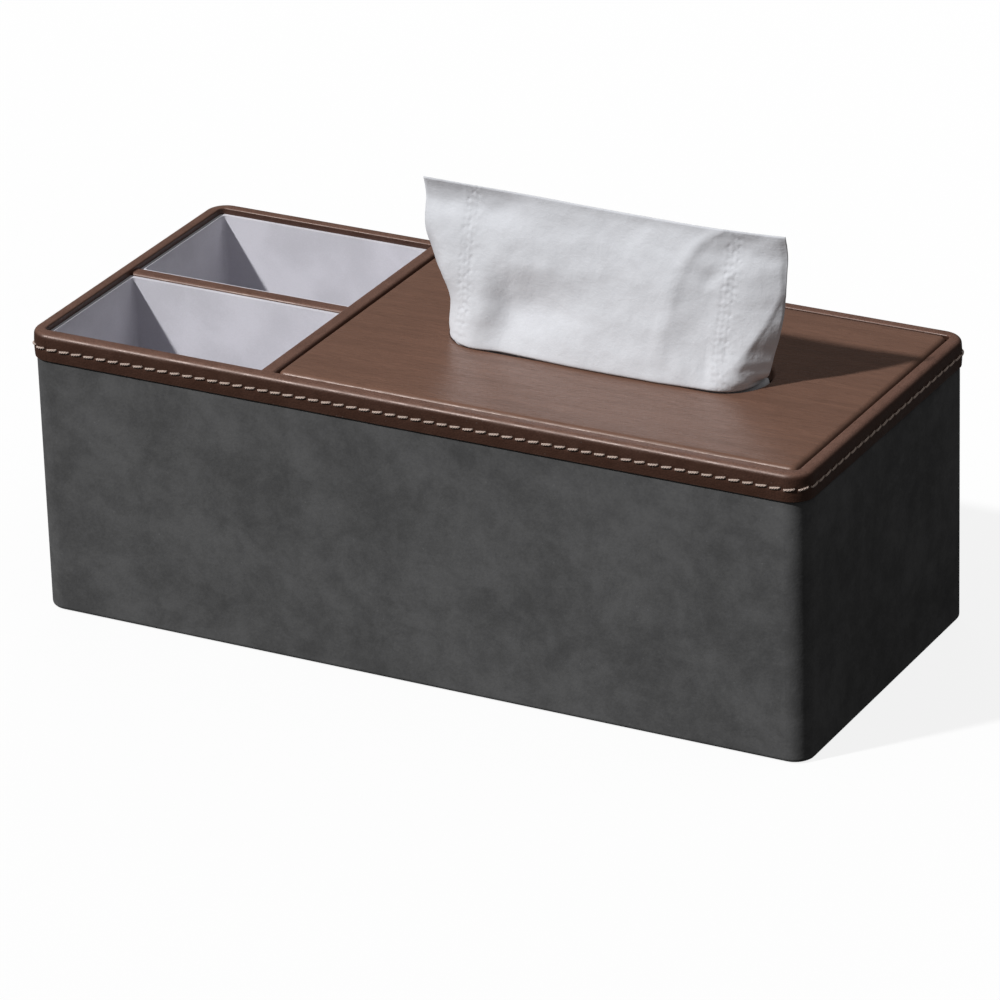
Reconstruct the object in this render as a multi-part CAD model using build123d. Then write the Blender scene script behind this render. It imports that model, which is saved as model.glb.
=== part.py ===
# A leather-covered desk box. A lined tray with two compartments fills the left end, and a
# tissue bay with a lift-off lid fills the right end. Sizes are millimetres, +Z is up, +X runs
# along the length, -Y is the front, and the origin is the centre of the underside.
from build123d import *
import os
from math import cos, degrees, pi, radians, sin

# Outline of the covered box
BOX_LENGTH = 280.0
BOX_WIDTH = 123.0
BOX_HEIGHT = 100.0
CORNER_RADIUS = 7.0

# Boards and their coverings
WALL_BOARD = 2.5
BASE_BOARD = 3.0
DIVIDER_BOARD = 4.0
WRAP_THICKNESS = 0.8
WRAP_LIFT = 0.2
WRAP_TURN_IN = 12.0
WRAP_BOTTOM_EDGE_RADIUS = 1.5
BASE_COVER_GAP = 0.4
LINING_THICKNESS = 1.9
LINING_CORNER = 1.5
LINING_DROP = 2.2

# Leather band over the rim and the dividers
TRIM_THICKNESS = 0.6
RIM_BAND_HEIGHT = 9.4
TRIM_FLAP_DEPTH = 7.0
RIM_EDGE_RADIUS = 1.4
TRIM_INNER_EDGE_RADIUS = 0.6
RIM_INNER_CORNER = 2.0
DIVIDER_EDGE_RADIUS = 1.2
CROSS_DIVIDER_DROP = 0.2
MID_DIVIDER_DROP = 1.3

# Thread along the outside of the band
STITCH_DEPTH_BELOW_RIM = 5.0
STITCH_PITCH = 4.6
STITCH_LENGTH = 3.5
STITCH_WIDTH = 0.9
STITCH_PROUD = 0.35
STITCH_SLANT = 8.0

# Inner layout
TRAY_LENGTH = 81.3

# Lid and the ledge that carries it
LID_END_GAP = 0.9
LID_SIDE_GAP = 0.4
LID_DROP = 0.3
LID_BOARD = 3.0
LID_COVER = 0.8
LID_BACKING = 0.6
LID_CORNER = 2.0
LID_EDGE_RADIUS = 0.9
LEDGE_WIDTH = 5.0
LEDGE_HEIGHT = 8.0
SLOT_LENGTH = 115.0
SLOT_WIDTH = 30.0

# Folded tissues in the bay, and the sheet that stands out of the slot
SHEET_WIDTH = 133.0
SHEET_THICKNESS = 0.8
STACK_DEPTH = 96.0
STACK_HEIGHT = 48.0
STACK_CORNER = 2.0
SHEET_CLEARANCE = 0.3
SHEET_STAND = 51.5
SHEET_LEAN = 11.0
SHEET_BEND_RADIUS = 14.4
SHEET_END = 3.5
SHEET_SLOT_BEND = 88.0
SHEET_TOP_BEND = 16.0
SHEET_FOLD_BEND = 5.0
SHEET_STRAIGHT_RUN = 3.0
TAIL_RISER = 12.0
TAIL_LOOP_RADIUS = 7.0
TAIL_FOOT_RADIUS = 4.0
TAIL_SETBACK = 15.0

# Places that follow from the sizes above
WRAP_TOP = BOX_HEIGHT - TRIM_THICKNESS
BOARD_BOTTOM = WRAP_LIFT + WRAP_THICKNESS
BASE_TOP = BOARD_BOTTOM + BASE_BOARD
BOARD_OUTER_X = BOX_LENGTH / 2 - WRAP_THICKNESS
BOARD_OUTER_Y = BOX_WIDTH / 2 - WRAP_THICKNESS
BOARD_INNER_X = BOARD_OUTER_X - WALL_BOARD
BOARD_INNER_Y = BOARD_OUTER_Y - WALL_BOARD
RIM_INNER_X = BOARD_INNER_X - TRIM_THICKNESS
RIM_INNER_Y = BOARD_INNER_Y - TRIM_THICKNESS
FLAP_BOTTOM = BOX_HEIGHT - TRIM_FLAP_DEPTH
LINING_TOP = BOX_HEIGHT - LINING_DROP

CROSS_TRIM_LEFT = -RIM_INNER_X + TRAY_LENGTH
CROSS_LEFT = CROSS_TRIM_LEFT + TRIM_THICKNESS
CROSS_RIGHT = CROSS_LEFT + DIVIDER_BOARD
CROSS_TRIM_RIGHT = CROSS_RIGHT + TRIM_THICKNESS
CROSS_TOP = BOX_HEIGHT - CROSS_DIVIDER_DROP
MID_TOP = BOX_HEIGHT - MID_DIVIDER_DROP
MID_HALF = DIVIDER_BOARD / 2

LID_LEFT = CROSS_TRIM_RIGHT + LID_END_GAP
LID_RIGHT = RIM_INNER_X - LID_END_GAP
LID_LENGTH = LID_RIGHT - LID_LEFT
LID_WIDTH = 2 * (RIM_INNER_Y - LID_SIDE_GAP)
LID_CENTRE_X = (LID_LEFT + LID_RIGHT) / 2
LID_TOP = BOX_HEIGHT - LID_DROP
LID_BOARD_TOP = LID_TOP - LID_COVER
LID_BOARD_BOTTOM = LID_BOARD_TOP - LID_BOARD
LID_BOTTOM = LID_BOARD_BOTTOM - LID_BACKING

BAY_FLOOR = BASE_TOP + LINING_THICKNESS
STACK_TOP = BAY_FLOOR + STACK_HEIGHT
SHEET_FOLD_Z = STACK_TOP + SHEET_CLEARANCE
SHEET_FRONT_Y = -SLOT_WIDTH / 2 + SHEET_CLEARANCE


def block(low, high):
    """A plain block between two opposite corners."""
    size = [b - a for a, b in zip(low, high)]
    return Pos(*low) * Box(*size, align=(Align.MIN, Align.MIN, Align.MIN))


def rounded_block(half_x, half_y, radius, low_z, high_z, centre_x=0.0):
    """An upright block about centre_x whose four upright edges are rounded."""
    outline = RectangleRounded(2 * half_x, 2 * half_y, radius)
    return Pos(centre_x, 0, low_z) * extrude(outline, high_z - low_z)


def boards():
    """The wall boards, the base board between them and the two dividers, before any notch."""
    outer = rounded_block(
        BOARD_OUTER_X, BOARD_OUTER_Y, CORNER_RADIUS - WRAP_THICKNESS, BOARD_BOTTOM, WRAP_TOP
    )
    front = block(
        (-BOARD_OUTER_X, -BOARD_OUTER_Y, BOARD_BOTTOM), (BOARD_OUTER_X, -BOARD_INNER_Y, WRAP_TOP)
    )
    left = block(
        (-BOARD_OUTER_X, -BOARD_INNER_Y, BOARD_BOTTOM), (-BOARD_INNER_X, BOARD_INNER_Y, WRAP_TOP)
    )
    base = block(
        (-BOARD_INNER_X, -BOARD_INNER_Y, BOARD_BOTTOM), (BOARD_INNER_X, BOARD_INNER_Y, BASE_TOP)
    )
    cross = block(
        (CROSS_LEFT, -BOARD_INNER_Y, BASE_TOP), (CROSS_RIGHT, BOARD_INNER_Y, CROSS_TOP - TRIM_THICKNESS)
    )
    middle = block(
        (-BOARD_INNER_X, -MID_HALF, BASE_TOP), (CROSS_LEFT, MID_HALF, MID_TOP - TRIM_THICKNESS)
    )
    return {
        "front_board": front & outer,
        "back_board": mirror(front, Plane.XZ) & outer,
        "left_board": left & outer,
        "right_board": mirror(left, Plane.YZ) & outer,
        "base_board": base,
        "cross_divider_board": cross,
        "mid_divider_board": middle,
    }


def outer_wrap():
    """The covering round the four walls, turned in under the bottom edge."""
    outer = rounded_block(BOX_LENGTH / 2, BOX_WIDTH / 2, CORNER_RADIUS, WRAP_LIFT, WRAP_TOP)
    underside = outer.faces().sort_by(Axis.Z)[0]
    outer = fillet(underside.edges(), WRAP_BOTTOM_EDGE_RADIUS)
    walls = rounded_block(
        BOARD_OUTER_X, BOARD_OUTER_Y, CORNER_RADIUS - WRAP_THICKNESS, BOARD_BOTTOM, WRAP_TOP
    )
    window = block(
        (-BOX_LENGTH / 2 + WRAP_TURN_IN, -BOX_WIDTH / 2 + WRAP_TURN_IN, WRAP_LIFT),
        (BOX_LENGTH / 2 - WRAP_TURN_IN, BOX_WIDTH / 2 - WRAP_TURN_IN, BOARD_BOTTOM),
    )
    return outer - walls - window


def base_cover():
    """The sheet under the base, inside the turned-in edge of the covering. The box rests on it."""
    inset = WRAP_TURN_IN + BASE_COVER_GAP
    x = BOX_LENGTH / 2 - inset
    y = BOX_WIDTH / 2 - inset
    return block((-x, -y, 0), (x, y, BOARD_BOTTOM))


def rim_trim():
    """The band over the rim: outside face, top and a flap turned down inside."""
    band_bottom = BOX_HEIGHT - RIM_BAND_HEIGHT
    shell = rounded_block(
        BOX_LENGTH / 2 + TRIM_THICKNESS,
        BOX_WIDTH / 2 + TRIM_THICKNESS,
        CORNER_RADIUS + TRIM_THICKNESS,
        band_bottom,
        BOX_HEIGHT,
    )
    shell -= rounded_block(RIM_INNER_X, RIM_INNER_Y, RIM_INNER_CORNER, band_bottom, BOX_HEIGHT)
    top = shell.faces().sort_by(Axis.Z)[-1]
    shell = fillet(top.outer_wire().edges(), RIM_EDGE_RADIUS)
    top = shell.faces().sort_by(Axis.Z)[-1]
    shell = fillet(top.inner_wires()[0].edges(), TRIM_INNER_EDGE_RADIUS)
    walls = rounded_block(BOX_LENGTH / 2, BOX_WIDTH / 2, CORNER_RADIUS, band_bottom, WRAP_TOP)
    inside = block(
        (-BOARD_INNER_X, -BOARD_INNER_Y, band_bottom), (BOARD_INNER_X, BOARD_INNER_Y, WRAP_TOP)
    )
    below_flap = block(
        (-BOARD_INNER_X, -BOARD_INNER_Y, band_bottom), (BOARD_INNER_X, BOARD_INNER_Y, FLAP_BOTTOM)
    )
    return shell - (walls - inside) - below_flap


def divider_trim(low, high, run):
    """Leather folded over a divider from corner low to corner high, along the axis called run."""
    cap = block(low, high)
    top = cap.faces().sort_by(Axis.Z)[-1]
    cap = fillet(top.edges().filter_by(run), DIVIDER_EDGE_RADIUS)
    inset = (TRIM_THICKNESS, 0, 0) if run == Axis.Y else (0, TRIM_THICKNESS, 0)
    core_low = [a + b for a, b in zip(low, inset)]
    core_high = [a - b for a, b in zip(high, inset)]
    core_high[2] -= TRIM_THICKNESS
    return cap - block(core_low, core_high)


def stitching():
    """Thread lying on the band all the way round, one solid for each stitch."""
    radius = CORNER_RADIUS + TRIM_THICKNESS
    half_x = BOX_LENGTH / 2 - CORNER_RADIUS
    half_y = BOX_WIDTH / 2 - CORNER_RADIUS
    arc = radius * pi / 2
    lap = 4 * (half_x + half_y + arc)
    count = 2 * round(lap / STITCH_PITCH / 2)
    corners = [(half_x, -half_y), (half_x, half_y), (-half_x, half_y), (-half_x, -half_y)]
    runs = [2 * half_x, 2 * half_y, 2 * half_x, 2 * half_y]
    plate = extrude(Rot(0, 0, STITCH_SLANT) * SlotOverall(STITCH_LENGTH, STITCH_WIDTH), STITCH_PROUD)
    stitches = []
    for index in range(count):
        along = lap * (index + 0.5) / count
        side = 0
        while along > runs[side] + arc:
            along -= runs[side] + arc
            side += 1
        turn = -90 + 90 * side
        past_run = max(along - runs[side], 0)
        back = max(runs[side] - along, 0)
        angle = turn + degrees(past_run / radius)
        corner_x, corner_y = corners[side]
        heading = radians(turn + 90)
        x = corner_x - back * cos(heading) + radius * cos(radians(angle))
        y = corner_y - back * sin(heading) + radius * sin(radians(angle))
        normal = (cos(radians(angle)), sin(radians(angle)), 0)
        tangent = (-normal[1], normal[0], 0)
        place = Plane((x, y, BOX_HEIGHT - STITCH_DEPTH_BELOW_RIM), x_dir=tangent, z_dir=normal)
        stitches.append(place * plate)
    return Compound(children=stitches)


def lining(low, high):
    """An open cup of fabric-faced card that fills one compartment."""
    outer = block(low, high)
    half_x = (high[0] - low[0]) / 2 - LINING_THICKNESS
    half_y = (high[1] - low[1]) / 2 - LINING_THICKNESS
    outline = RectangleRounded(2 * half_x, 2 * half_y, LINING_CORNER)
    centre = ((low[0] + high[0]) / 2, (low[1] + high[1]) / 2, low[2] + LINING_THICKNESS)
    return outer - Pos(*centre) * extrude(outline, high[2] - low[2])


def lid_ledges():
    """Four strips round the bay, under the edge of the lid."""
    bottom = LID_BOTTOM - LEDGE_HEIGHT
    inner_y = BOARD_INNER_Y - LEDGE_WIDTH
    return {
        "lid_ledge_front": block(
            (CROSS_RIGHT, -BOARD_INNER_Y, bottom), (BOARD_INNER_X, -inner_y, LID_BOTTOM)
        ),
        "lid_ledge_back": block(
            (CROSS_RIGHT, inner_y, bottom), (BOARD_INNER_X, BOARD_INNER_Y, LID_BOTTOM)
        ),
        "lid_ledge_left": block(
            (CROSS_RIGHT, -inner_y, bottom), (CROSS_RIGHT + LEDGE_WIDTH, inner_y, LID_BOTTOM)
        ),
        "lid_ledge_right": block(
            (BOARD_INNER_X - LEDGE_WIDTH, -inner_y, bottom), (BOARD_INNER_X, inner_y, LID_BOTTOM)
        ),
    }


def slot_cutter(grow, low_z, high_z):
    """A block the shape of the slot, larger by grow all round."""
    outline = SlotOverall(SLOT_LENGTH + 2 * grow, SLOT_WIDTH + 2 * grow)
    return Pos(LID_CENTRE_X, 0, low_z) * extrude(outline, high_z - low_z)


def lid_parts():
    """The lid board, the leather over it and the thin sheet glued underneath."""
    half_x = LID_LENGTH / 2
    half_y = LID_WIDTH / 2
    board = rounded_block(
        half_x - LID_COVER,
        half_y - LID_COVER,
        LID_CORNER - LID_COVER,
        LID_BOARD_BOTTOM,
        LID_BOARD_TOP,
        LID_CENTRE_X,
    )
    board -= slot_cutter(LID_COVER, LID_BOARD_BOTTOM, LID_BOARD_TOP)
    backing = rounded_block(
        half_x - LID_COVER,
        half_y - LID_COVER,
        LID_CORNER - LID_COVER,
        LID_BOTTOM,
        LID_BOARD_BOTTOM,
        LID_CENTRE_X,
    )
    backing -= slot_cutter(LID_COVER, LID_BOTTOM, LID_BOARD_BOTTOM)
    cover = rounded_block(half_x, half_y, LID_CORNER, LID_BOTTOM, LID_TOP, LID_CENTRE_X)
    cover -= slot_cutter(0, LID_BOTTOM, LID_TOP)
    top = cover.faces().sort_by(Axis.Z)[-1]
    cover = fillet(top.edges(), LID_EDGE_RADIUS)
    cover -= board + backing
    return {"lid_board": board, "lid_cover": cover, "lid_backing": backing}


def tissue_stack():
    """The folded tissues left in the bay."""
    half_x = SHEET_WIDTH / 2
    stack = rounded_block(half_x, STACK_DEPTH / 2, STACK_CORNER, BAY_FLOOR, STACK_TOP, LID_CENTRE_X)
    return fillet(stack.faces().sort_by(Axis.Z)[-1].edges(), STACK_CORNER / 2)


def sheet_side(bend, radius, low_y):
    """One side of a cross section: end, bend, front run, bend, end, drawn left to right."""
    angle = radians(bend)
    half_run = (SHEET_WIDTH - 2 * SHEET_BEND_RADIUS * angle - 2 * SHEET_END) / 2
    centre_y = low_y + SHEET_BEND_RADIUS

    def on_bend(sign, part):
        turn = angle * part
        return (
            LID_CENTRE_X + sign * (half_run + radius * sin(turn)),
            centre_y - radius * cos(turn),
        )

    def tip(sign):
        x, y = on_bend(sign, 1)
        return (x + sign * SHEET_END * cos(angle), y + SHEET_END * sin(angle))

    return (
        tip(-1),
        on_bend(-1, 1),
        on_bend(-1, 0.5),
        on_bend(-1, 0),
        on_bend(1, 0),
        on_bend(1, 0.5),
        on_bend(1, 1),
        tip(1),
    )


def sheet_section(height, front_y, bend):
    """The closed outline of the standing sheet at one height."""
    outer = sheet_side(bend, SHEET_BEND_RADIUS, front_y)
    inner = sheet_side(bend, SHEET_BEND_RADIUS - SHEET_THICKNESS, front_y)
    edges = []
    for side in (outer, inner):
        edges.append(Line(side[0], side[1]))
        edges.append(ThreePointArc(side[1], side[2], side[3]))
        edges.append(Line(side[3], side[4]))
        edges.append(ThreePointArc(side[4], side[5], side[6]))
        edges.append(Line(side[6], side[7]))
    edges.append(Line(outer[7], inner[7]))
    edges.append(Line(inner[0], outer[0]))
    return Pos(0, 0, height) * make_face(edges)


def sheet_levels():
    """Height, front face and end bend of the sheet, from its fold in the bay to its top edge."""
    below = LID_BOTTOM - SHEET_STRAIGHT_RUN
    above = LID_TOP + SHEET_STRAIGHT_RUN
    fold_y = SHEET_FRONT_Y + SHEET_LEAN / 2
    levels = [
        (SHEET_FOLD_Z, fold_y, SHEET_FOLD_BEND),
        (
            (SHEET_FOLD_Z + below) / 2,
            (fold_y + SHEET_FRONT_Y) / 2,
            (SHEET_FOLD_BEND + SHEET_SLOT_BEND) / 2,
        ),
        (below, SHEET_FRONT_Y, SHEET_SLOT_BEND),
        (above, SHEET_FRONT_Y, SHEET_SLOT_BEND),
    ]
    for share in (0.25, 0.5, 0.75, 1.0):
        height = above + share * (SHEET_STAND - SHEET_STRAIGHT_RUN)
        bend = SHEET_SLOT_BEND + (SHEET_TOP_BEND - SHEET_SLOT_BEND) * share**0.6
        levels.append((height, SHEET_FRONT_Y + SHEET_LEAN * share**1.3, bend))
    return levels


def sheet_tail():
    """The half of the sheet behind its fold: over the stack, up in a loop and down again."""
    t = SHEET_THICKNESS
    start_y = SHEET_FRONT_Y + SHEET_LEAN / 2
    riser_y = start_y + TAIL_SETBACK
    far_y = riser_y + 2 * TAIL_LOOP_RADIUS
    low = SHEET_FOLD_Z
    knee = low + TAIL_FOOT_RADIUS
    shoulder = knee + TAIL_RISER
    foot = TAIL_FOOT_RADIUS
    loop = TAIL_LOOP_RADIUS
    end_y = STACK_DEPTH / 2
    path = [
        Line((start_y, low), (riser_y - foot + t, low)),
        RadiusArc((riser_y - foot + t, low), (riser_y + t, knee), -foot),
        Line((riser_y + t, knee), (riser_y + t, shoulder)),
        ThreePointArc(
            (riser_y + t, shoulder), (riser_y + loop, shoulder + loop - t), (far_y - t, shoulder)
        ),
        Line((far_y - t, shoulder), (far_y - t, knee)),
        RadiusArc((far_y - t, knee), (far_y + foot - t, low), -foot),
        Line((far_y + foot - t, low), (end_y, low)),
        Line((end_y, low), (end_y, low + t)),
        Line((end_y, low + t), (far_y + foot - t, low + t)),
        RadiusArc((far_y + foot - t, low + t), (far_y, knee), foot - t),
        Line((far_y, knee), (far_y, shoulder)),
        ThreePointArc((far_y, shoulder), (riser_y + loop, shoulder + loop), (riser_y, shoulder)),
        Line((riser_y, shoulder), (riser_y, knee)),
        RadiusArc((riser_y, knee), (riser_y - foot + t, low + t), foot - t),
        Line((riser_y - foot + t, low + t), (start_y, low + t)),
        Line((start_y, low + t), (start_y, low)),
    ]
    band = Plane.YZ * make_face(path)
    return Pos(LID_CENTRE_X - SHEET_WIDTH / 2, 0, 0) * extrude(band, SHEET_WIDTH)


def top_tissue():
    """The sheet that stands out of the slot, with its folded half in the bay."""
    standing = loft([sheet_section(*level) for level in sheet_levels()], ruled=True)
    return standing + sheet_tail()


def build():
    """Every piece of the box by name."""
    parts = boards()
    trim = rim_trim()
    cross_trim = divider_trim(
        (CROSS_TRIM_LEFT, -RIM_INNER_Y, FLAP_BOTTOM), (CROSS_TRIM_RIGHT, RIM_INNER_Y, CROSS_TOP), Axis.Y
    )
    mid_trim = divider_trim(
        (-RIM_INNER_X, -MID_HALF - TRIM_THICKNESS, FLAP_BOTTOM),
        (CROSS_TRIM_LEFT, MID_HALF + TRIM_THICKNESS, MID_TOP),
        Axis.X,
    )
    parts["cross_divider_board"] -= trim
    parts["mid_divider_board"] = parts["mid_divider_board"] - trim - cross_trim
    parts["outer_wrap"] = outer_wrap()
    parts["base_cover"] = base_cover()
    parts["rim_trim"] = trim
    parts["rim_stitching"] = stitching()
    parts["cross_divider_trim"] = cross_trim
    parts["mid_divider_trim"] = mid_trim
    front_tray = lining((-BOARD_INNER_X, -BOARD_INNER_Y, BASE_TOP), (CROSS_LEFT, -MID_HALF, LINING_TOP))
    front_tray = front_tray - trim - cross_trim - mid_trim
    parts["front_tray_lining"] = front_tray
    parts["back_tray_lining"] = mirror(front_tray, Plane.XZ)
    parts["tissue_bay_lining"] = lining(
        (CROSS_RIGHT, -BOARD_INNER_Y, BASE_TOP), (BOARD_INNER_X, BOARD_INNER_Y, LID_BOTTOM - LEDGE_HEIGHT)
    )
    for name, ledge in lid_ledges().items():
        parts[name] = ledge - trim - cross_trim
    parts["tissue_stack"] = tissue_stack()
    parts.update(lid_parts())
    parts["top_tissue"] = top_tissue()
    return parts


os.makedirs("parts", exist_ok=True)
for node, shape in build().items():
    export_step(shape, f"parts/{node}.step")
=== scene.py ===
"""Leather desk box with two trays and a lift-off tissue lid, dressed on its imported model.

Lengths in the classes are in millimetres and turn into metres only when a mesh is made.
The box's length runs along X, its stitched front faces -Y, and the floor is at Z = 0.
"""

import logging
import math
import random
from collections.abc import Callable
from dataclasses import dataclass
from enum import Enum

import bmesh
import bpy
from mathutils import Matrix, Vector, noise


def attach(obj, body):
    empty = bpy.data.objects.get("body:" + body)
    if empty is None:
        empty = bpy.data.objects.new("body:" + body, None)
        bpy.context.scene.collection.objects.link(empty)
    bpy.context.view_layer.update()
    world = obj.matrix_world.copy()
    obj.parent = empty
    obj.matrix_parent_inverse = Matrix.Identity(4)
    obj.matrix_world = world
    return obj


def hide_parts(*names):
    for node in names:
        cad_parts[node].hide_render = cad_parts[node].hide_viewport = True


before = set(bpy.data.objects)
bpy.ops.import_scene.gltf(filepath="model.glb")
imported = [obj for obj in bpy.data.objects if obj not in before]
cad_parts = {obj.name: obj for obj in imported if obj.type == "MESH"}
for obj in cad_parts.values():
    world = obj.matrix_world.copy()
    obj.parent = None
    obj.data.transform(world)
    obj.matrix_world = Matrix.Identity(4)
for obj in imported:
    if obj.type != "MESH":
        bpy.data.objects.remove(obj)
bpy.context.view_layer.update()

MM = 0.001
Point = tuple[float, float, float]
Colour = tuple[float, float, float]
Table = tuple[tuple[float, float], ...]
Face = tuple[int, ...]
CORNERS = ((1, -1), (1, 1), (-1, 1), (-1, -1))
Socket = bpy.types.NodeSocket
Sockets = bpy.types.bpy_prop_collection
Feed = Socket | float | tuple[float, ...]
log = logging.getLogger("desk_box")


class Body(Enum):
    """The bodies that the pieces ride on."""

    CARCASS = "carcass"
    LID = "lid"


class Slot(Enum):
    """The record's material slots."""

    FIBREBOARD = "fibreboard"
    SUEDE = "grey_suede"
    LEATHER = "brown_leather"
    WOOD_GRAIN = "wood_grain_leather"
    TRAY_LINING = "lining_velvet"
    BAY_LINING = "bay_lining"
    FELT = "base_felt"
    THREAD = "thread"
    TISSUE = "tissue_paper"


# ---------------------------------------------------------------- shader wiring


class Wiring:
    """A node tree being wired, with short methods for the nodes that this scene uses."""

    def __init__(self, tree: bpy.types.NodeTree) -> None:
        """Start wiring the given tree."""
        self.tree = tree

    def node(self, kind: str, **settings: object) -> bpy.types.Node:
        """Add a node.

        Args:
            kind: Blender's type name of the node.
            settings: the node's own settings.

        Returns:
            The new node.
        """
        made = self.tree.nodes.new(kind)
        for name, value in settings.items():
            setattr(made, name, value)
        return made

    def feed(self, target: Socket, value: Feed) -> None:
        """Link a socket to the target, or set the target to a plain value.

        Args:
            target: the input that is fed.
            value: the socket or the value.
        """
        if isinstance(value, Socket):
            self.tree.links.new(value, target)
        else:
            target.default_value = value

    def math(self, operation: str, first: Feed, second: Feed) -> Socket:
        """Join two values with a Math node.

        Args:
            operation: the node's operation.
            first: the first value.
            second: the second value.

        Returns:
            The result.
        """
        made = self.node("ShaderNodeMath", operation=operation)
        self.feed(made.inputs[0], first)
        self.feed(made.inputs[1], second)
        return made.outputs[0]

    def weigh(self, *parts: tuple[Socket, float]) -> Socket:
        """Add masks up, each times its weight.

        Args:
            parts: pairs of a mask and its weight.

        Returns:
            The sum.
        """
        weighed = [self.math("MULTIPLY", mask, weight) for mask, weight in parts]
        total = weighed[0]
        for part in weighed[1:]:
            total = self.math("ADD", total, part)
        return total

    def vector(self, operation: str, first: Feed, second: Feed) -> Socket:
        """Join two vectors with a Vector Math node.

        Args:
            operation: the node's operation. SCALE takes its factor from second.
            first: a vector or a vector socket.
            second: a vector, a vector socket, or SCALE's factor.

        Returns:
            The vector, or the value where the operation gives one.
        """
        made = self.node("ShaderNodeVectorMath", operation=operation)
        self.feed(made.inputs[0], first)
        self.feed(made.inputs["Scale"] if operation == "SCALE" else made.inputs[1], second)
        return made.outputs["Value"] if operation == "DOT_PRODUCT" else made.outputs[0]

    def spread(
        self, value: Feed, low: float, high: float, to_low: Feed = 0.0, to_high: Feed = 1.0
    ) -> Socket:
        """Map a value smoothly from one range to another.

        Args:
            value: the value to map.
            low: the value that gives to_low.
            high: the value that gives to_high.
            to_low: the result at low and below.
            to_high: the result at high and above.

        Returns:
            The mapped value.
        """
        made = self.node("ShaderNodeMapRange", interpolation_type="SMOOTHSTEP")
        names = ("Value", "From Min", "From Max", "To Min", "To Max")
        for name, given in zip(names, (value, low, high, to_low, to_high)):
            self.feed(made.inputs[name], given)
        return made.outputs[0]

    def noise(
        self, place: Feed, scale: float, detail: float, roughness: float, output: str = "Fac"
    ) -> Socket:
        """Add fractal noise.

        Args:
            place: the coordinates.
            scale: how many features fit in one unit.
            detail: the number of finer octaves.
            roughness: how strong the finer octaves are.
            output: Fac for a value or Color for three.

        Returns:
            The chosen output.
        """
        made = self.node("ShaderNodeTexNoise")
        self.feed(made.inputs["Vector"], place)
        made.inputs["Scale"].default_value = scale
        made.inputs["Detail"].default_value = detail
        made.inputs["Roughness"].default_value = roughness
        return made.outputs[output]

    def cells(self, place: Feed, scale: float, feature: str = "F1") -> Socket:
        """Add a Voronoi pattern.

        Args:
            place: the coordinates.
            scale: how many cells fit in one unit.
            feature: what the distance is measured to.

        Returns:
            The distance.
        """
        made = self.node("ShaderNodeTexVoronoi", feature=feature)
        self.feed(made.inputs["Vector"], place)
        made.inputs["Scale"].default_value = scale
        return made.outputs["Distance"]

    def drifted(self, place: Socket, scale: float, reach: float, middle: float = 0.5) -> Socket:
        """Push a place about with slow noise, so that a pattern isn't regular.

        Args:
            place: the coordinates.
            scale: the noise's scale.
            reach: how far the noise pushes.
            middle: the noise's value that leaves the place where it is.

        Returns:
            The pushed coordinates.
        """
        drift = self.noise(place, scale, 2, 0.5, "Color")
        drift = self.vector("SUBTRACT", drift, (middle, middle, middle))
        return self.vector("ADD", place, self.vector("SCALE", drift, reach))

    def blend(self, share: Feed, first: Feed, second: Feed) -> Socket:
        """Blend two colours.

        Args:
            share: how much of the second colour, 0 to 1.
            first: a colour of three numbers or a socket.
            second: a colour of three numbers or a socket.

        Returns:
            The blended colour.
        """
        made = self.node("ShaderNodeMix", data_type="RGBA", blend_type="MIX")
        self.feed(made.inputs[0], share)
        for index, given in ((6, first), (7, second)):
            self.feed(made.inputs[index], (*given, 1.0) if isinstance(given, tuple) else given)
        return made.outputs[2]

    def overlay(self, under: Feed, mask: Socket, strength: float, over: Feed) -> Socket:
        """Lay a colour over another one where a mask shows it.

        Args:
            under: the colour underneath.
            mask: where the other colour shows, 0 to 1.
            strength: how strongly it shows there.
            over: the colour on top.

        Returns:
            The blended colour.
        """
        return self.blend(self.math("MULTIPLY", mask, strength), under, over)

    def place(self) -> Socket:
        """Return the object's own coordinates, in metres."""
        return self.node("ShaderNodeTexCoord").outputs["Object"]

    def upward(self) -> Socket:
        """Measure how far the surface faces up.

        Returns:
            The Z of the object's own normal.
        """
        parts = self.node("ShaderNodeSeparateXYZ")
        self.feed(parts.inputs[0], self.node("ShaderNodeTexCoord").outputs["Normal"])
        return parts.outputs["Z"]

    def background_rays(self) -> Socket:
        """Return 1 for rays that see the background straight or through clear things."""
        rays = self.node("ShaderNodeLightPath").outputs
        return self.math("MAXIMUM", rays["Is Camera Ray"], rays["Is Transmission Ray"])

    def mix(self, share: Feed, first: Socket, second: Socket) -> Socket:
        """Mix two shaders.

        Args:
            share: how much of the second, 0 to 1.
            first: a shader.
            second: another shader.

        Returns:
            The mixed shader.
        """
        made = self.node("ShaderNodeMixShader")
        for target, given in zip(made.inputs, (share, first, second)):
            self.feed(target, given)
        return made.outputs[0]

    def end(self, kind: str, shader: Socket) -> None:
        """Send a shader to the tree's output, a node of the kind."""
        self.feed(self.node(kind).inputs["Surface"], shader)

    def effect(self, tree: bpy.types.NodeTree, **inputs: Feed) -> bpy.types.Node:
        """Place a shared effect with its own values.

        Args:
            tree: the effect's node group.
            inputs: its inputs, with underscores for spaces.

        Returns:
            The group node.
        """
        made = self.node("ShaderNodeGroup")
        made.node_tree = tree
        for name, value in inputs.items():
            self.feed(made.inputs[name.replace("_", " ")], value)
        return made

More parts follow.
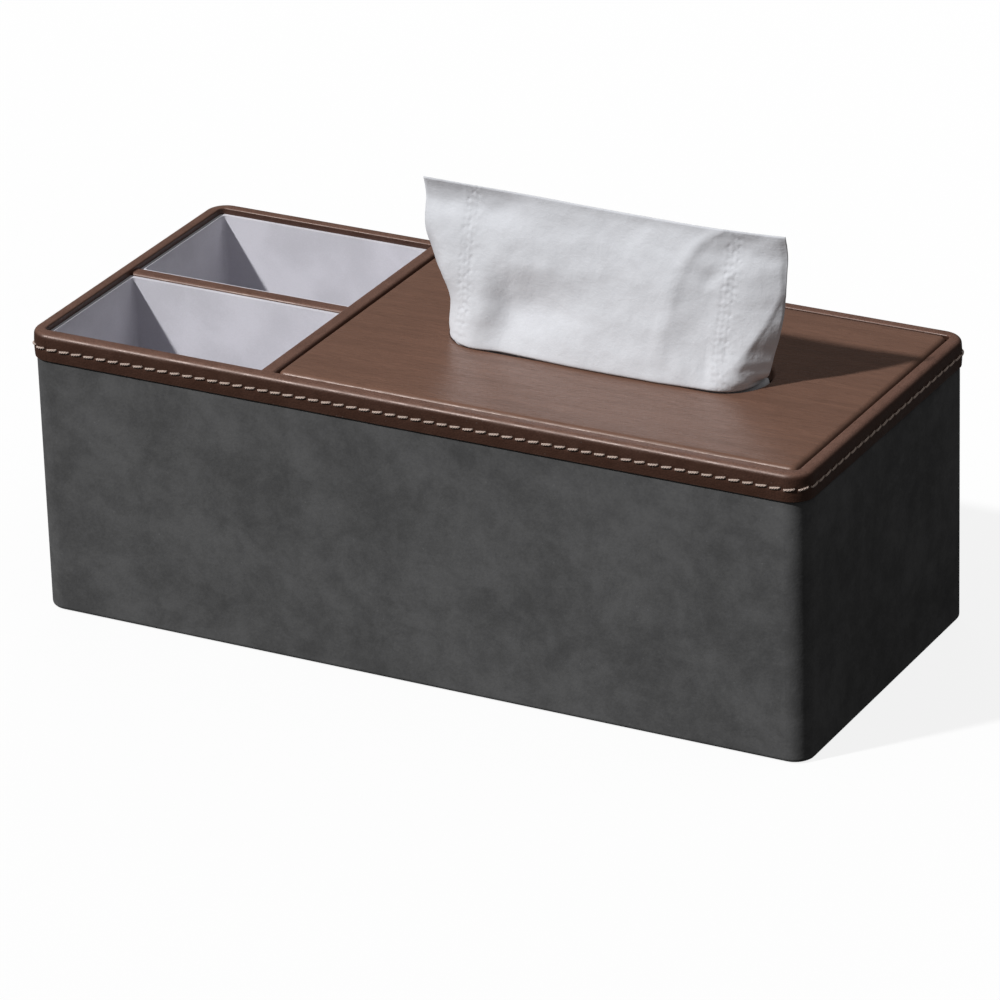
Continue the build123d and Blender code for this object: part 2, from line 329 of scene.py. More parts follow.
    def bump(
        self, height: Feed, depth: float, strength: float, under: Socket | None = None
    ) -> Socket:
        """Turn a height of 0 to 1 into a normal.

        Args:
            height: the height.
            depth: how deep a height of 1 is, in millimetres.
            strength: the share of the effect.
            under: a normal that this one is laid over.

        Returns:
            The normal.
        """
        made = self.node("ShaderNodeBump")
        made.inputs["Strength"].default_value = strength
        made.inputs["Distance"].default_value = depth * MM
        self.feed(made.inputs["Height"], height)
        if under is not None:
            self.feed(made.inputs["Normal"], under)
        return made.outputs[0]


class Effects:
    """The shared effects: node groups that are built once and placed in many finishes."""

    def __init__(self) -> None:
        """Build every group."""
        self.cloudy_nap = self._group(
            "cloudy_nap",
            ("Place", "Cloud Size", "Fleck Size"),
            ("Clouds", "Patches", "Flecks"),
            self._nap,
        )
        self.leather_grain = self._group(
            "leather_grain", ("Place", "Grain Size"), ("Pebbles", "Creases", "Swell"), self._grain
        )
        self.wood_streaks = self._group(
            "wood_streaks",
            ("Place", "Length", "Width"),
            ("Streaks", "Bands", "Pores"),
            self._streaks,
        )
        self.fibres = self._group(
            "fibres", ("Place", "Length", "Width"), ("Weave", "Tangle"), self._fibres
        )
        self.edge_wear_and_highlight = self._group("edge_wear_and_highlight", ("Place", "Reach"), ("Wear",), self._wear_and_highlight)
        self.dust = self._group("dust", ("Place", "Speck Size"), ("Specks",), self._dust)

    def _group(
        self,
        name: str,
        inputs: tuple[str, ...],
        outputs: tuple[str, ...],
        fill: Callable[[Wiring, Sockets], tuple[Socket, ...]],
    ) -> bpy.types.NodeTree:
        """Build one group.

        Args:
            name: the group's name.
            inputs: the names of its inputs. Place is a vector and the others are values.
            outputs: the names of its outputs, all values.
            fill: the method that wires it, from Wiring and input sockets to output sockets.

        Returns:
            The group.
        """
        tree = bpy.data.node_groups.new(name, "ShaderNodeTree")
        for label in inputs:
            kind = "NodeSocketVector" if label == "Place" else "NodeSocketFloat"
            tree.interface.new_socket(name=label, in_out="INPUT", socket_type=kind)
        for label in outputs:
            tree.interface.new_socket(name=label, in_out="OUTPUT", socket_type="NodeSocketFloat")
        wiring = Wiring(tree)
        given = wiring.node("NodeGroupInput").outputs
        result = wiring.node("NodeGroupOutput").inputs
        for label, socket in zip(outputs, fill(wiring, given)):
            wiring.feed(result[label], socket)
        return tree

    @staticmethod
    def _scaled(wiring: Wiring, given: Sockets, size: str) -> Socket:
        """Return the place measured in the named size."""
        return wiring.vector("SCALE", given["Place"], wiring.math("DIVIDE", 1.0, given[size]))

    @staticmethod
    def _stretched(wiring: Wiring, given: Sockets, place: Socket, long_axis: str) -> Socket:
        """Measure a place in lengths along one axis and in widths along the others.

        Args:
            wiring: the group's node tree.
            given: the group's inputs.
            place: the coordinates.
            long_axis: the axis of the lengths: X, Y or Z.

        Returns:
            The stretched coordinates.
        """
        along = wiring.math("DIVIDE", 1.0, given["Length"])
        across = wiring.math("DIVIDE", 1.0, given["Width"])
        joined = wiring.node("ShaderNodeCombineXYZ")
        for axis in "XYZ":
            wiring.feed(joined.inputs[axis], along if axis == long_axis else across)
        return wiring.vector("MULTIPLY", place, joined.outputs[0])

    def _nap(self, wiring: Wiring, given: Sockets) -> tuple[Socket, ...]:
        """Wire brushed nap.

        Args:
            wiring: the group's node tree.
            given: the group's inputs.

        Returns:
            Large soft clouds, smaller patches and fine flecks.
        """
        place = wiring.drifted(self._scaled(wiring, given, "Cloud Size"), 0.9, 0.45)
        clouds = wiring.spread(wiring.noise(place, 1.0, 4, 0.5), 0.3, 0.7)
        patches = wiring.spread(wiring.noise(place, 3.7, 5, 0.66), 0.22, 0.78)
        flecks = wiring.noise(self._scaled(wiring, given, "Fleck Size"), 1.0, 3, 0.65)
        return clouds, patches, flecks

    def _grain(self, wiring: Wiring, given: Sockets) -> tuple[Socket, ...]:
        """Wire the grain of leather.

        Args:
            wiring: the group's node tree.
            given: the group's inputs.

        Returns:
            Raised pebbles, the creases between them and a slow swell.
        """
        place = wiring.drifted(self._scaled(wiring, given, "Grain Size"), 0.6, 0.7, 0.0)
        pebbles = wiring.spread(wiring.cells(place, 1.0, "SMOOTH_F1"), 0.15, 0.75, 1.0, 0.0)
        creases = wiring.spread(wiring.cells(place, 1.0, "DISTANCE_TO_EDGE"), 0.0, 0.16, 1.0, 0.0)
        swell = wiring.noise(place, 0.11, 3, 0.6)
        return pebbles, creases, swell

    def _streaks(self, wiring: Wiring, given: Sockets) -> tuple[Socket, ...]:
        """Wire wood grain along X.

        Args:
            wiring: the group's node tree.
            given: the group's inputs.

        Returns:
            Fine streaks, broad bands and dark pores.
        """
        place = self._stretched(wiring, given, given["Place"], "X")
        place = wiring.drifted(place, 0.2, 1.4)
        streaks = wiring.spread(wiring.noise(place, 1.0, 4, 0.6), 0.32, 0.68)
        bands = wiring.spread(wiring.noise(place, 0.12, 3, 0.6), 0.34, 0.66)
        pores = wiring.spread(wiring.noise(place, 1.3, 2, 0.5), 0.6, 0.7)
        return streaks, bands, pores

    def _fibres(self, wiring: Wiring, given: Sockets) -> tuple[Socket, ...]:
        """Wire fibres that cross each other.

        Args:
            wiring: the group's node tree.
            given: the group's inputs.

        Returns:
            A fine weave and a loose tangle.
        """
        turned = wiring.node("ShaderNodeVectorRotate", rotation_type="EULER_XYZ")
        wiring.feed(turned.inputs["Vector"], given["Place"])
        turned.inputs["Rotation"].default_value = (0.9, 1.1, 1.3)
        one_way = self._stretched(wiring, given, given["Place"], "X")
        other_way = self._stretched(wiring, given, turned.outputs[0], "Y")
        first = wiring.noise(one_way, 1.0, 3, 0.6)
        second = wiring.noise(other_way, 1.0, 3, 0.6)
        weave = wiring.math("MULTIPLY", wiring.math("ADD", first, second), 0.5)
        tangle = wiring.spread(wiring.math("MAXIMUM", first, second), 0.5, 0.75)
        return weave, tangle

    def _wear_and_highlight(self, wiring: Wiring, given: Sockets) -> tuple[Socket, ...]:
        """Wire the edges' mask: where the surface turns within the reach, broken up by noise. It
        places rubbed wear, and on grained leather also a painted highlight.

        Args:
            wiring: the group's node tree.
            given: the group's inputs.

        Returns:
            The mask of rubbed wear and painted highlight.
        """
        rounded = wiring.node("ShaderNodeBevel", samples=4)
        wiring.feed(rounded.inputs["Radius"], given["Reach"])
        plain = wiring.node("ShaderNodeNewGeometry").outputs["Normal"]
        likeness = wiring.vector("DOT_PRODUCT", rounded.outputs[0], plain)
        turned = wiring.spread(wiring.math("SUBTRACT", 1.0, likeness), 0.02, 0.25)
        patchy = wiring.spread(wiring.noise(given["Place"], 260.0, 3, 0.6), 0.35, 0.7)
        return (wiring.math("MULTIPLY", turned, patchy),)

    def _dust(self, wiring: Wiring, given: Sockets) -> tuple[Socket, ...]:
        """Wire scattered specks of lint and dust.

        Args:
            wiring: the group's node tree.
            given: the group's inputs.

        Returns:
            The specks.
        """
        place = self._scaled(wiring, given, "Speck Size")
        specks = wiring.spread(wiring.cells(place, 0.16), 0.03, 0.12, 1.0, 0.0)
        here = wiring.spread(wiring.noise(place, 0.035, 2, 0.5), 0.5, 0.62)
        return (wiring.math("MULTIPLY", specks, here),)


# ---------------------------------------------------------------- finishes


@dataclass(frozen=True)
class Finish:
    """A finish: its base colour, the constants of its shader, and how rubbed and dusty it is."""

    slot: Slot
    colour: Colour
    roughness: float = 0.8
    specular: float = 0.3
    sheen: float = 0.0
    sheen_roughness: float = 0.5
    tint: Colour = (1.0, 1.0, 1.0)
    wear_reach: float = 1.0
    rubbed: float = 0.25
    speck_size: float = 0.4
    dusty: float = 0.12
    dust: Colour = (0.4, 0.4, 0.4)

    def material(self, effects: Effects) -> bpy.types.Material:
        """Build the finish's material.

        Args:
            effects: the shared node groups.

        Returns:
            The material.
        """
        made = bpy.data.materials.new(self.slot.value)
        made.use_nodes = True
        made.node_tree.nodes.clear()
        wiring = Wiring(made.node_tree)
        shader = wiring.node("ShaderNodeBsdfPrincipled")
        shader.inputs["Roughness"].default_value = self.roughness
        shader.inputs["Specular IOR Level"].default_value = self.specular
        shader.inputs["Specular Tint"].default_value = (*self.tint, 1.0)
        shader.inputs["Sheen Weight"].default_value = self.sheen
        shader.inputs["Sheen Roughness"].default_value = self.sheen_roughness
        self.wire(wiring, shader.inputs, wiring.place(), effects)
        wiring.end("ShaderNodeOutputMaterial", shader.outputs[0])
        return made

    def shade(self, factor: float) -> Colour:
        """Return the base colour made darker or lighter by a factor."""
        return tuple(channel * factor for channel in self.colour)

    def wire(self, wiring: Wiring, sockets: Sockets, place: Socket, effects: Effects) -> None:
        """Wire the colour, roughness and normal that change over the surface.

        Args:
            wiring: the material's node tree.
            sockets: the shader's inputs.
            place: the object's coordinates.
            effects: the shared node groups.
        """
        raise NotImplementedError

    def aged(
        self, wiring: Wiring, place: Socket, effects: Effects, colour: Feed, edge: Colour
    ) -> Socket:
        """Lighten the edges of a colour with rubbed wear, which on grained leather also paints a
        highlight, then scatter dust over it.

        Args:
            wiring: the material's node tree.
            place: the object's coordinates.
            effects: the shared node groups.
            colour: the colour.
            edge: the colour of a rubbed edge, on grained leather also a painted highlight.

        Returns:
            The aged colour.
        """
        wear = wiring.effect(effects.edge_wear_and_highlight, Place=place, Reach=self.wear_reach * MM)
        colour = wiring.overlay(colour, wear.outputs["Wear"], self.rubbed, edge)
        return self.dusted(wiring, place, effects, colour)

    def dusted(self, wiring: Wiring, place: Socket, effects: Effects, colour: Feed) -> Socket:
        """Scatter dust over a colour.

        Args:
            wiring: the material's node tree.
            place: the object's coordinates.
            effects: the shared node groups.
            colour: the colour.

        Returns:
            The dusty colour.
        """
        dust = wiring.effect(effects.dust, Place=place, Speck_Size=self.speck_size * MM)
        return wiring.overlay(colour, dust.outputs["Specks"], self.dusty, self.dust)


@dataclass(frozen=True)
class Suede(Finish):
    """Brushed suede-look leather: cloudy, with patches where the nap lies the other way."""

    wear_reach: float = 1.5
    speck_size: float = 0.5
    cloud_size: float = 26.0
    fleck_size: float = 0.9
    contrast: float = 0.3
    nap_depth: float = 0.12

    def wire(self, wiring: Wiring, sockets: Sockets, place: Socket, effects: Effects) -> None:
        """Wire soft clouds, patches and a fine nap.

        Args:
            wiring: the material's node tree.
            sockets: the shader's inputs.
            place: the object's coordinates.
            effects: the shared node groups.
        """
        nap = wiring.effect(
            effects.cloudy_nap,
            Place=place,
            Cloud_Size=self.cloud_size * MM,
            Fleck_Size=self.fleck_size * MM,
        ).outputs
        mixed = wiring.weigh((nap["Clouds"], 0.34), (nap["Patches"], 0.4), (nap["Flecks"], 0.5))
        low, high = self.shade(1 - self.contrast), self.shade(1 + self.contrast)
        colour = wiring.blend(wiring.spread(mixed, 0.12, 1.12), low, high)
        colour = self.aged(wiring, place, effects, colour, self.shade(1.7))
        wiring.feed(sockets["Base Color"], colour)
        wiring.feed(sockets["Roughness"], wiring.spread(mixed, 0.2, 0.9, 0.97, 0.86))
        broad = wiring.bump(nap["Patches"], self.nap_depth, 0.5)
        wiring.feed(sockets["Normal"], wiring.bump(nap["Flecks"], self.nap_depth, 0.5, broad))


@dataclass(frozen=True)
class GrainedLeather(Finish):
    """Satin leather with a fine pebble grain, with painted top light on faces that face up and
    rubbed edges that also paint a highlight.
    """

    wear_reach: float = 1.1
    # Part of this rubbed weight paints a highlight along the rounded edges.
    rubbed: float = 0.35
    dusty: float = 0.15
    dust: Colour = (0.4, 0.38, 0.36)
    grain_size: float = 0.75
    grain_depth: float = 0.05
    # Colour of rubbed edges, made lighter and warmer to also paint a highlight on them.
    worn_edge_and_highlight: Colour = (0.2, 0.125, 0.1)
    # painted top light: the lighter colour that up-facing faces are blended to, standing in for
    # light falling on the top
    painted_top_light: Colour = (0.185, 0.100, 0.074)

    def wire(self, wiring: Wiring, sockets: Sockets, place: Socket, effects: Effects) -> None:
        """Wire the grain, its dark creases, the painted top light and the rubbed edges with their
        painted highlight.

        Args:
            wiring: the material's node tree.
            sockets: the shader's inputs.
            place: the object's coordinates.
            effects: the shared node groups.
        """
        grain = wiring.effect(
            effects.leather_grain, Place=place, Grain_Size=self.grain_size * MM
        ).outputs
        upward = wiring.upward()
        colour = wiring.blend(grain["Swell"], self.shade(0.72), self.shade(1.3))
        # Painted top light: faces that face up turn towards a lighter colour, broken up by the
        # swell, in place of light falling on the top.
        top = wiring.spread(upward, 0.3, 0.9)
        top = wiring.math("MULTIPLY", top, wiring.spread(grain["Swell"], 0.2, 0.7, 0.75, 1.0))
        colour = wiring.blend(top, colour, self.painted_top_light)
        colour = wiring.overlay(colour, grain["Creases"], 0.45, self.shade(0.35))
        # Rubbed edges: partly real wear and partly a painted highlight along the rounded edges.
        colour = self.aged(wiring, place, effects, colour, self.worn_edge_and_highlight)
        wiring.feed(sockets["Base Color"], colour)
        smoothest, dullest = self.roughness - 0.05, self.roughness + 0.07
        rough = wiring.spread(grain["Swell"], 0.3, 0.7, smoothest, dullest)
        wiring.feed(sockets["Roughness"], rough)
        creases = wiring.math("MULTIPLY", grain["Creases"], 0.5)
        height = wiring.math("SUBTRACT", grain["Pebbles"], creases)
        pulled_flat = wiring.spread(upward, 0.1, 0.5, 1.0, 0.3)
        height = wiring.math("MULTIPLY", height, pulled_flat)
        wiring.feed(sockets["Normal"], wiring.bump(height, self.grain_depth, 0.6))


@dataclass(frozen=True)
class WoodGrainLeather(Finish):
    """Leather printed with fine straight wood grain along the box."""

    wear_reach: float = 0.9
    dust: Colour = (0.5, 0.48, 0.45)
    streak_length: float = 7.0
    streak_width: float = 0.42
    grain_size: float = 0.6
    print_depth: float = 0.03
    dulled: float = 0.13

    def wire(self, wiring: Wiring, sockets: Sockets, place: Socket, effects: Effects) -> None:
        """Wire the streaks, bands and pores over a faint leather grain.

        Args:
            wiring: the material's node tree.
            sockets: the shader's inputs.
            place: the object's coordinates.
            effects: the shared node groups.
        """
        wood = wiring.effect(
            effects.wood_streaks,
            Place=place,
            Length=self.streak_length * MM,
            Width=self.streak_width * MM,
        ).outputs
        grain = wiring.effect(
            effects.leather_grain, Place=place, Grain_Size=self.grain_size * MM
        ).outputs
        mixed = wiring.weigh((wood["Streaks"], 0.6), (wood["Bands"], 0.4))
        colour = wiring.blend(mixed, self.shade(0.84), self.shade(1.15))
        colour = wiring.overlay(colour, wood["Pores"], 0.45, self.shade(0.5))
        colour = self.aged(wiring, place, effects, colour, self.shade(1.6))
        wiring.feed(sockets["Base Color"], colour)
        rough = wiring.spread(mixed, 0.2, 0.8, self.roughness + 0.05, self.roughness - 0.05)
        turned_down = wiring.spread(wiring.upward(), 0.75, 0.98, self.dulled, 0.0)
        wiring.feed(sockets["Roughness"], wiring.math("ADD", rough, turned_down))
        printed = wiring.math("SUBTRACT", wood["Streaks"], wood["Pores"])
        pressed = wiring.bump(printed, self.print_depth, 0.5)
        pebbled = wiring.bump(grain["Pebbles"], self.print_depth, 0.4, pressed)
        wiring.feed(sockets["Normal"], pebbled)


@dataclass(frozen=True)
class PileCloth(Finish):
    """Short-pile cloth: velvet, flock or felt."""

    dusty: float = 0.15
    dust: Colour = (0.6, 0.6, 0.6)
    fibre_length: float = 1.6
    fibre_width: float = 0.22
    cloud_size: float = 22.0
    fleck_size: float = 0.6
    contrast: float = 0.1
    depth: float = 0.1

    def wire(self, wiring: Wiring, sockets: Sockets, place: Socket, effects: Effects) -> None:
        """Wire fibres over soft clouds where the pile has been stroked.

        Args:
            wiring: the material's node tree.
            sockets: the shader's inputs.
            place: the object's coordinates.
            effects: the shared node groups.
        """
        fibres = wiring.effect(
            effects.fibres,
            Place=place,
            Length=self.fibre_length * MM,
            Width=self.fibre_width * MM,
        ).outputs
        nap = wiring.effect(
            effects.cloudy_nap,
            Place=place,
            Cloud_Size=self.cloud_size * MM,
            Fleck_Size=self.fleck_size * MM,
        ).outputs
        mixed = wiring.weigh((nap["Clouds"], 0.35), (nap["Flecks"], 0.3), (fibres["Weave"], 0.35))
        low, high = self.shade(1 - self.contrast), self.shade(1 + self.contrast)
        colour = wiring.blend(wiring.spread(mixed, 0.2, 0.8), low, high)
        wiring.feed(sockets["Base Color"], self.dusted(wiring, place, effects, colour))
        wiring.feed(sockets["Roughness"], wiring.spread(mixed, 0.2, 0.8, 0.98, 0.85))
        wiring.feed(sockets["Normal"], wiring.bump(fibres["Weave"], self.depth, 0.6))


@dataclass(frozen=True)
class PressedBoard(Finish):
    """Raw fibreboard, with its pressed fibres showing."""

    fibre_length: float = 5.0
    fibre_width: float = 0.4
    cloud_size: float = 14.0
    fleck_size: float = 0.5
    depth: float = 0.1

    def wire(self, wiring: Wiring, sockets: Sockets, place: Socket, effects: Effects) -> None:
        """Wire long pale and dark fibres.

        Args:
            wiring: the material's node tree.
            sockets: the shader's inputs.
            place: the object's coordinates.
            effects: the shared node groups.
        """
        fibres = wiring.effect(
            effects.fibres,
            Place=place,
            Length=self.fibre_length * MM,
            Width=self.fibre_width * MM,
        ).outputs
        nap = wiring.effect(
            effects.cloudy_nap,
            Place=place,
            Cloud_Size=self.cloud_size * MM,
            Fleck_Size=self.fleck_size * MM,
        ).outputs
        colour = wiring.blend(nap["Clouds"], self.shade(0.86), self.shade(1.08))
        colour = wiring.overlay(colour, fibres["Tangle"], 0.5, self.shade(0.6))
        wiring.feed(sockets["Base Color"], colour)
        wiring.feed(sockets["Roughness"], wiring.spread(nap["Flecks"], 0.3, 0.7, 0.95, 0.8))
        wiring.feed(sockets["Normal"], wiring.bump(fibres["Weave"], self.depth, 0.5))


@dataclass(frozen=True)
class WaxedThread(Finish):
    """Twisted thread with a little wax on it."""

    fibre_length: float = 0.9
    fibre_width: float = 0.1
    soil_size: float = 9.0
    fleck_size: float = 0.3
    depth: float = 0.04

    def wire(self, wiring: Wiring, sockets: Sockets, place: Socket, effects: Effects) -> None:
        """Wire fine fibres and slight soiling.

        Args:
            wiring: the material's node tree.
            sockets: the shader's inputs.
            place: the object's coordinates.
            effects: the shared node groups.
        """
        fibres = wiring.effect(
            effects.fibres,
            Place=place,
            Length=self.fibre_length * MM,
            Width=self.fibre_width * MM,
        ).outputs
        soil = wiring.effect(
            effects.cloudy_nap,
            Place=place,
            Cloud_Size=self.soil_size * MM,
            Fleck_Size=self.fleck_size * MM,
        ).outputs
        colour = wiring.blend(fibres["Weave"], self.shade(0.8), self.shade(1.15))
        colour = wiring.overlay(colour, soil["Clouds"], 0.2, self.shade(0.7))
        wiring.feed(sockets["Base Color"], colour)
        wiring.feed(sockets["Roughness"], wiring.spread(soil["Flecks"], 0.3, 0.7, 0.6, 0.8))
        wiring.feed(sockets["Normal"], wiring.bump(fibres["Weave"], self.depth, 0.6))


@dataclass(frozen=True)
class TissuePaper(Finish):
    """Soft creped paper."""

    fibre_length: float = 2.4
    fibre_width: float = 0.45
    pulp_size: float = 11.0
    crepe_size: float = 1.1

    def wire(self, wiring: Wiring, sockets: Sockets, place: Socket, effects: Effects) -> None:
        """Wire the crepe, its fibres and faint cloudiness of the pulp.

        Args:
            wiring: the material's node tree.
            sockets: the shader's inputs.
            place: the object's coordinates.
            effects: the shared node groups.
        """
        fibres = wiring.effect(
            effects.fibres,
            Place=place,
            Length=self.fibre_length * MM,
            Width=self.fibre_width * MM,
        ).outputs
        pulp = wiring.effect(
            effects.cloudy_nap,
            Place=place,
            Cloud_Size=self.pulp_size * MM,
            Fleck_Size=self.crepe_size * MM,
        ).outputs
        mixed = wiring.weigh((pulp["Clouds"], 0.35), (pulp["Patches"], 0.35), (pulp["Flecks"], 0.3))
        wiring.feed(sockets["Base Color"], wiring.blend(mixed, self.shade(0.93), self.shade(1.055)))
        wiring.feed(sockets["Roughness"], wiring.spread(mixed, 0.2, 0.8, 0.95, 0.88))
        cockle = wiring.bump(pulp["Patches"], 0.16, 0.5)
        crepe = wiring.bump(pulp["Flecks"], 0.12, 0.5, cockle)
        wiring.feed(sockets["Normal"], wiring.bump(fibres["Weave"], 0.08, 0.5, crepe))


FINISHES: tuple[Finish, ...] = (
    PressedBoard(Slot.FIBREBOARD, (0.30, 0.17, 0.085), roughness=0.9, specular=0.2),
    Suede(Slot.SUEDE, (0.096, 0.096, 0.097), roughness=0.95, specular=0.08, sheen=0.04),
    GrainedLeather(
        Slot.LEATHER, (0.064, 0.029, 0.019), roughness=0.41, specular=0.5, tint=(1.0, 0.84, 0.78)
    ),
    WoodGrainLeather(
        Slot.WOOD_GRAIN, (0.168, 0.090, 0.063), roughness=0.28, specular=0.5, tint=(1.0, 0.88, 0.83)
    ),
    PileCloth(Slot.TRAY_LINING, (0.66, 0.65, 0.70), roughness=0.92, specular=0.15, sheen=0.1),
    PileCloth(
        Slot.BAY_LINING,
        (0.033, 0.030, 0.030),
        roughness=0.92,
        specular=0.1,
        sheen=0.1,
        contrast=0.25,
    ),
    PileCloth(
        Slot.FELT,
        (0.014, 0.014, 0.014),
        roughness=0.95,
        specular=0.1,
        sheen=0.05,
        dusty=0.3,
        fibre_length=3.0,
        fibre_width=0.35,
        contrast=0.35,
        depth=0.2,
    ),
    WaxedThread(Slot.THREAD, (0.54, 0.43, 0.37), roughness=0.65, specular=0.3, sheen=0.05),
    TissuePaper(Slot.TISSUE, (0.678, 0.691, 0.727), roughness=0.92, specular=0.12),
)


# ---------------------------------------------------------------- making pieces


class Workshop:
    """Makes the materials, and turns points and faces into dressed pieces."""

    def __init__(self) -> None:
        """Build the effects and every finish's material."""
        effects = Effects()
        self.materials = {finish.slot: finish.material(effects) for finish in FINISHES}

    def piece(
        self,
        name: str,
        points: list[Point],
        faces: list[Face],
        slot: Slot,
        body: Body,
        replaced: tuple[str, ...],
    ) -> bpy.types.Object:
        """Make a smooth mesh piece that rides on a body and stands for CAD nodes.

        Args:
            name: the piece's name.
            points: its points, in millimetres.
            faces: its faces, as indices of points.
            slot: the slot of its finish.
            body: the body that it rides on.
            replaced: the CAD nodes that it stands for.

        Returns:
            The new object.
        """
        mesh = bpy.data.meshes.new(name)
        mesh.from_pydata([tuple(MM * value for value in point) for point in points], [], faces)
        mesh.polygons.foreach_set("use_smooth", [True] * len(faces))
        turned = bmesh.new()
        turned.from_mesh(mesh)
        bmesh.ops.recalc_face_normals(turned, faces=turned.faces)
        turned.to_mesh(mesh)
        turned.free()
        mesh.update()
        made = bpy.data.objects.new(name, mesh)
        bpy.context.scene.collection.objects.link(made)
        mesh.materials.append(self.materials[slot])
        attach(made, body.value)
        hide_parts(*replaced)
        log.info("%s: %d faces, rides on %s", name, len(faces), body.value)
        return made

    def dress(self, node: str, slot: Slot) -> None:
        """Give a CAD node that keeps its shape the finish of its slot.

        Args:
            node: the node's name.
            slot: the slot.
        """
        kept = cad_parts[node]
        kept.data.materials.clear()
        kept.data.materials.append(self.materials[slot])
        log.info("%s: keeps its shape, finished in %s", node, slot.value)


def loop_faces(rings: int, size: int, closed: bool) -> list[Face]:
    """Join rings of points into faces.

    Args:
        rings: the number of rings, one after the other in the list of points.
        size: the points in each ring, which closes on itself.
        closed: whether the last ring joins the first.

    Returns:
        The four-sided faces.
    """
    faces = []
    for ring in range(rings if closed else rings - 1):
        here, there = ring * size, (ring + 1) % rings * size
        for index in range(size):
            after = (index + 1) % size
            faces.append((here + index, here + after, there + after, there + index))
    return faces


def capped_tube(first: int, rings: int, size: int) -> list[Face]:
    """Join rings of points into a tube with closed ends.

    Args:
        first: the index of the first point.
        rings: the number of rings.
        size: the points in each ring.

    Returns:
        The faces.
    """
    faces = [tuple(first + index for index in face) for face in loop_faces(rings, size, False)]
    faces.append(tuple(first + index for index in reversed(range(size))))
    faces.append(tuple(first + (rings - 1) * size + index for index in range(size)))
    return faces


def smooth(value: float, low: float, high: float) -> float:
    """Rise smoothly from 0 at low to 1 at high."""
    share = min(max((value - low) / (high - low), 0.0), 1.0)
    return share * share * (3 - 2 * share)


def along_table(value: float, table: Table) -> float:
    """Read a smooth curve through a table.

    Args:
        value: where to read it.
        table: rows of (place, result), by rising place.

    Returns:
        The curve's value, which stays level beyond both ends.
    """
    if value <= table[0][0]:
        return table[0][1]
    if value >= table[-1][0]:
        return table[-1][1]
    index = next(i for i, row in enumerate(table) if value <= row[0]) - 1
    (low, before), (high, after) = table[index], table[index + 1]
    run = high - low
    step = (after - before) / run
    slopes = []
    for side in (index, index + 1):
        slope = 0.0
        if 0 < side < len(table) - 1:
            (one, first), (two, second) = table[side - 1], table[side + 1]
            slope = (second - first) / (two - one)
        if slope * step <= 0:
            slopes.append(0.0)
        else:
            slopes.append(math.copysign(min(abs(slope), 3 * abs(step)), slope))
    share = (value - low) / run
    kept = share * share * (3 - 2 * share)
    start = share * (1 - share) ** 2 * slopes[0] * run
    end = share * share * (share - 1) * slopes[1] * run
    return before + (after - before) * kept + start + end


@dataclass(frozen=True)
class Wave:
    """A slow unevenness of a surface: its depth, its size two ways and its seed."""

    depth: float
    wide: float
    tall: float
    seed: float

    def at(self, across: float, up: float) -> float:
        """Return how far the surface stands out at a place."""
        return self.depth * noise.noise(Vector((across / self.wide, up / self.tall, self.seed)))


@dataclass(frozen=True)
class Bulge:
    """A soft bulge of a surface, or a hollow where its depth is below 0."""

    depth: float
    across: float
    half_width: float
    height: float
    half_height: float

    def at(self, across: float, height: float) -> float:
        """Measure the bulge.

        Args:
            across: the place.
            height: the height.

        Returns:
            How far the surface stands out there.
        """
        aside = (across - self.across) / self.half_width
        above = (height - self.height) / self.half_height
        return self.depth * math.exp(-(aside**2) - above**2)


# ---------------------------------------------------------------- rim


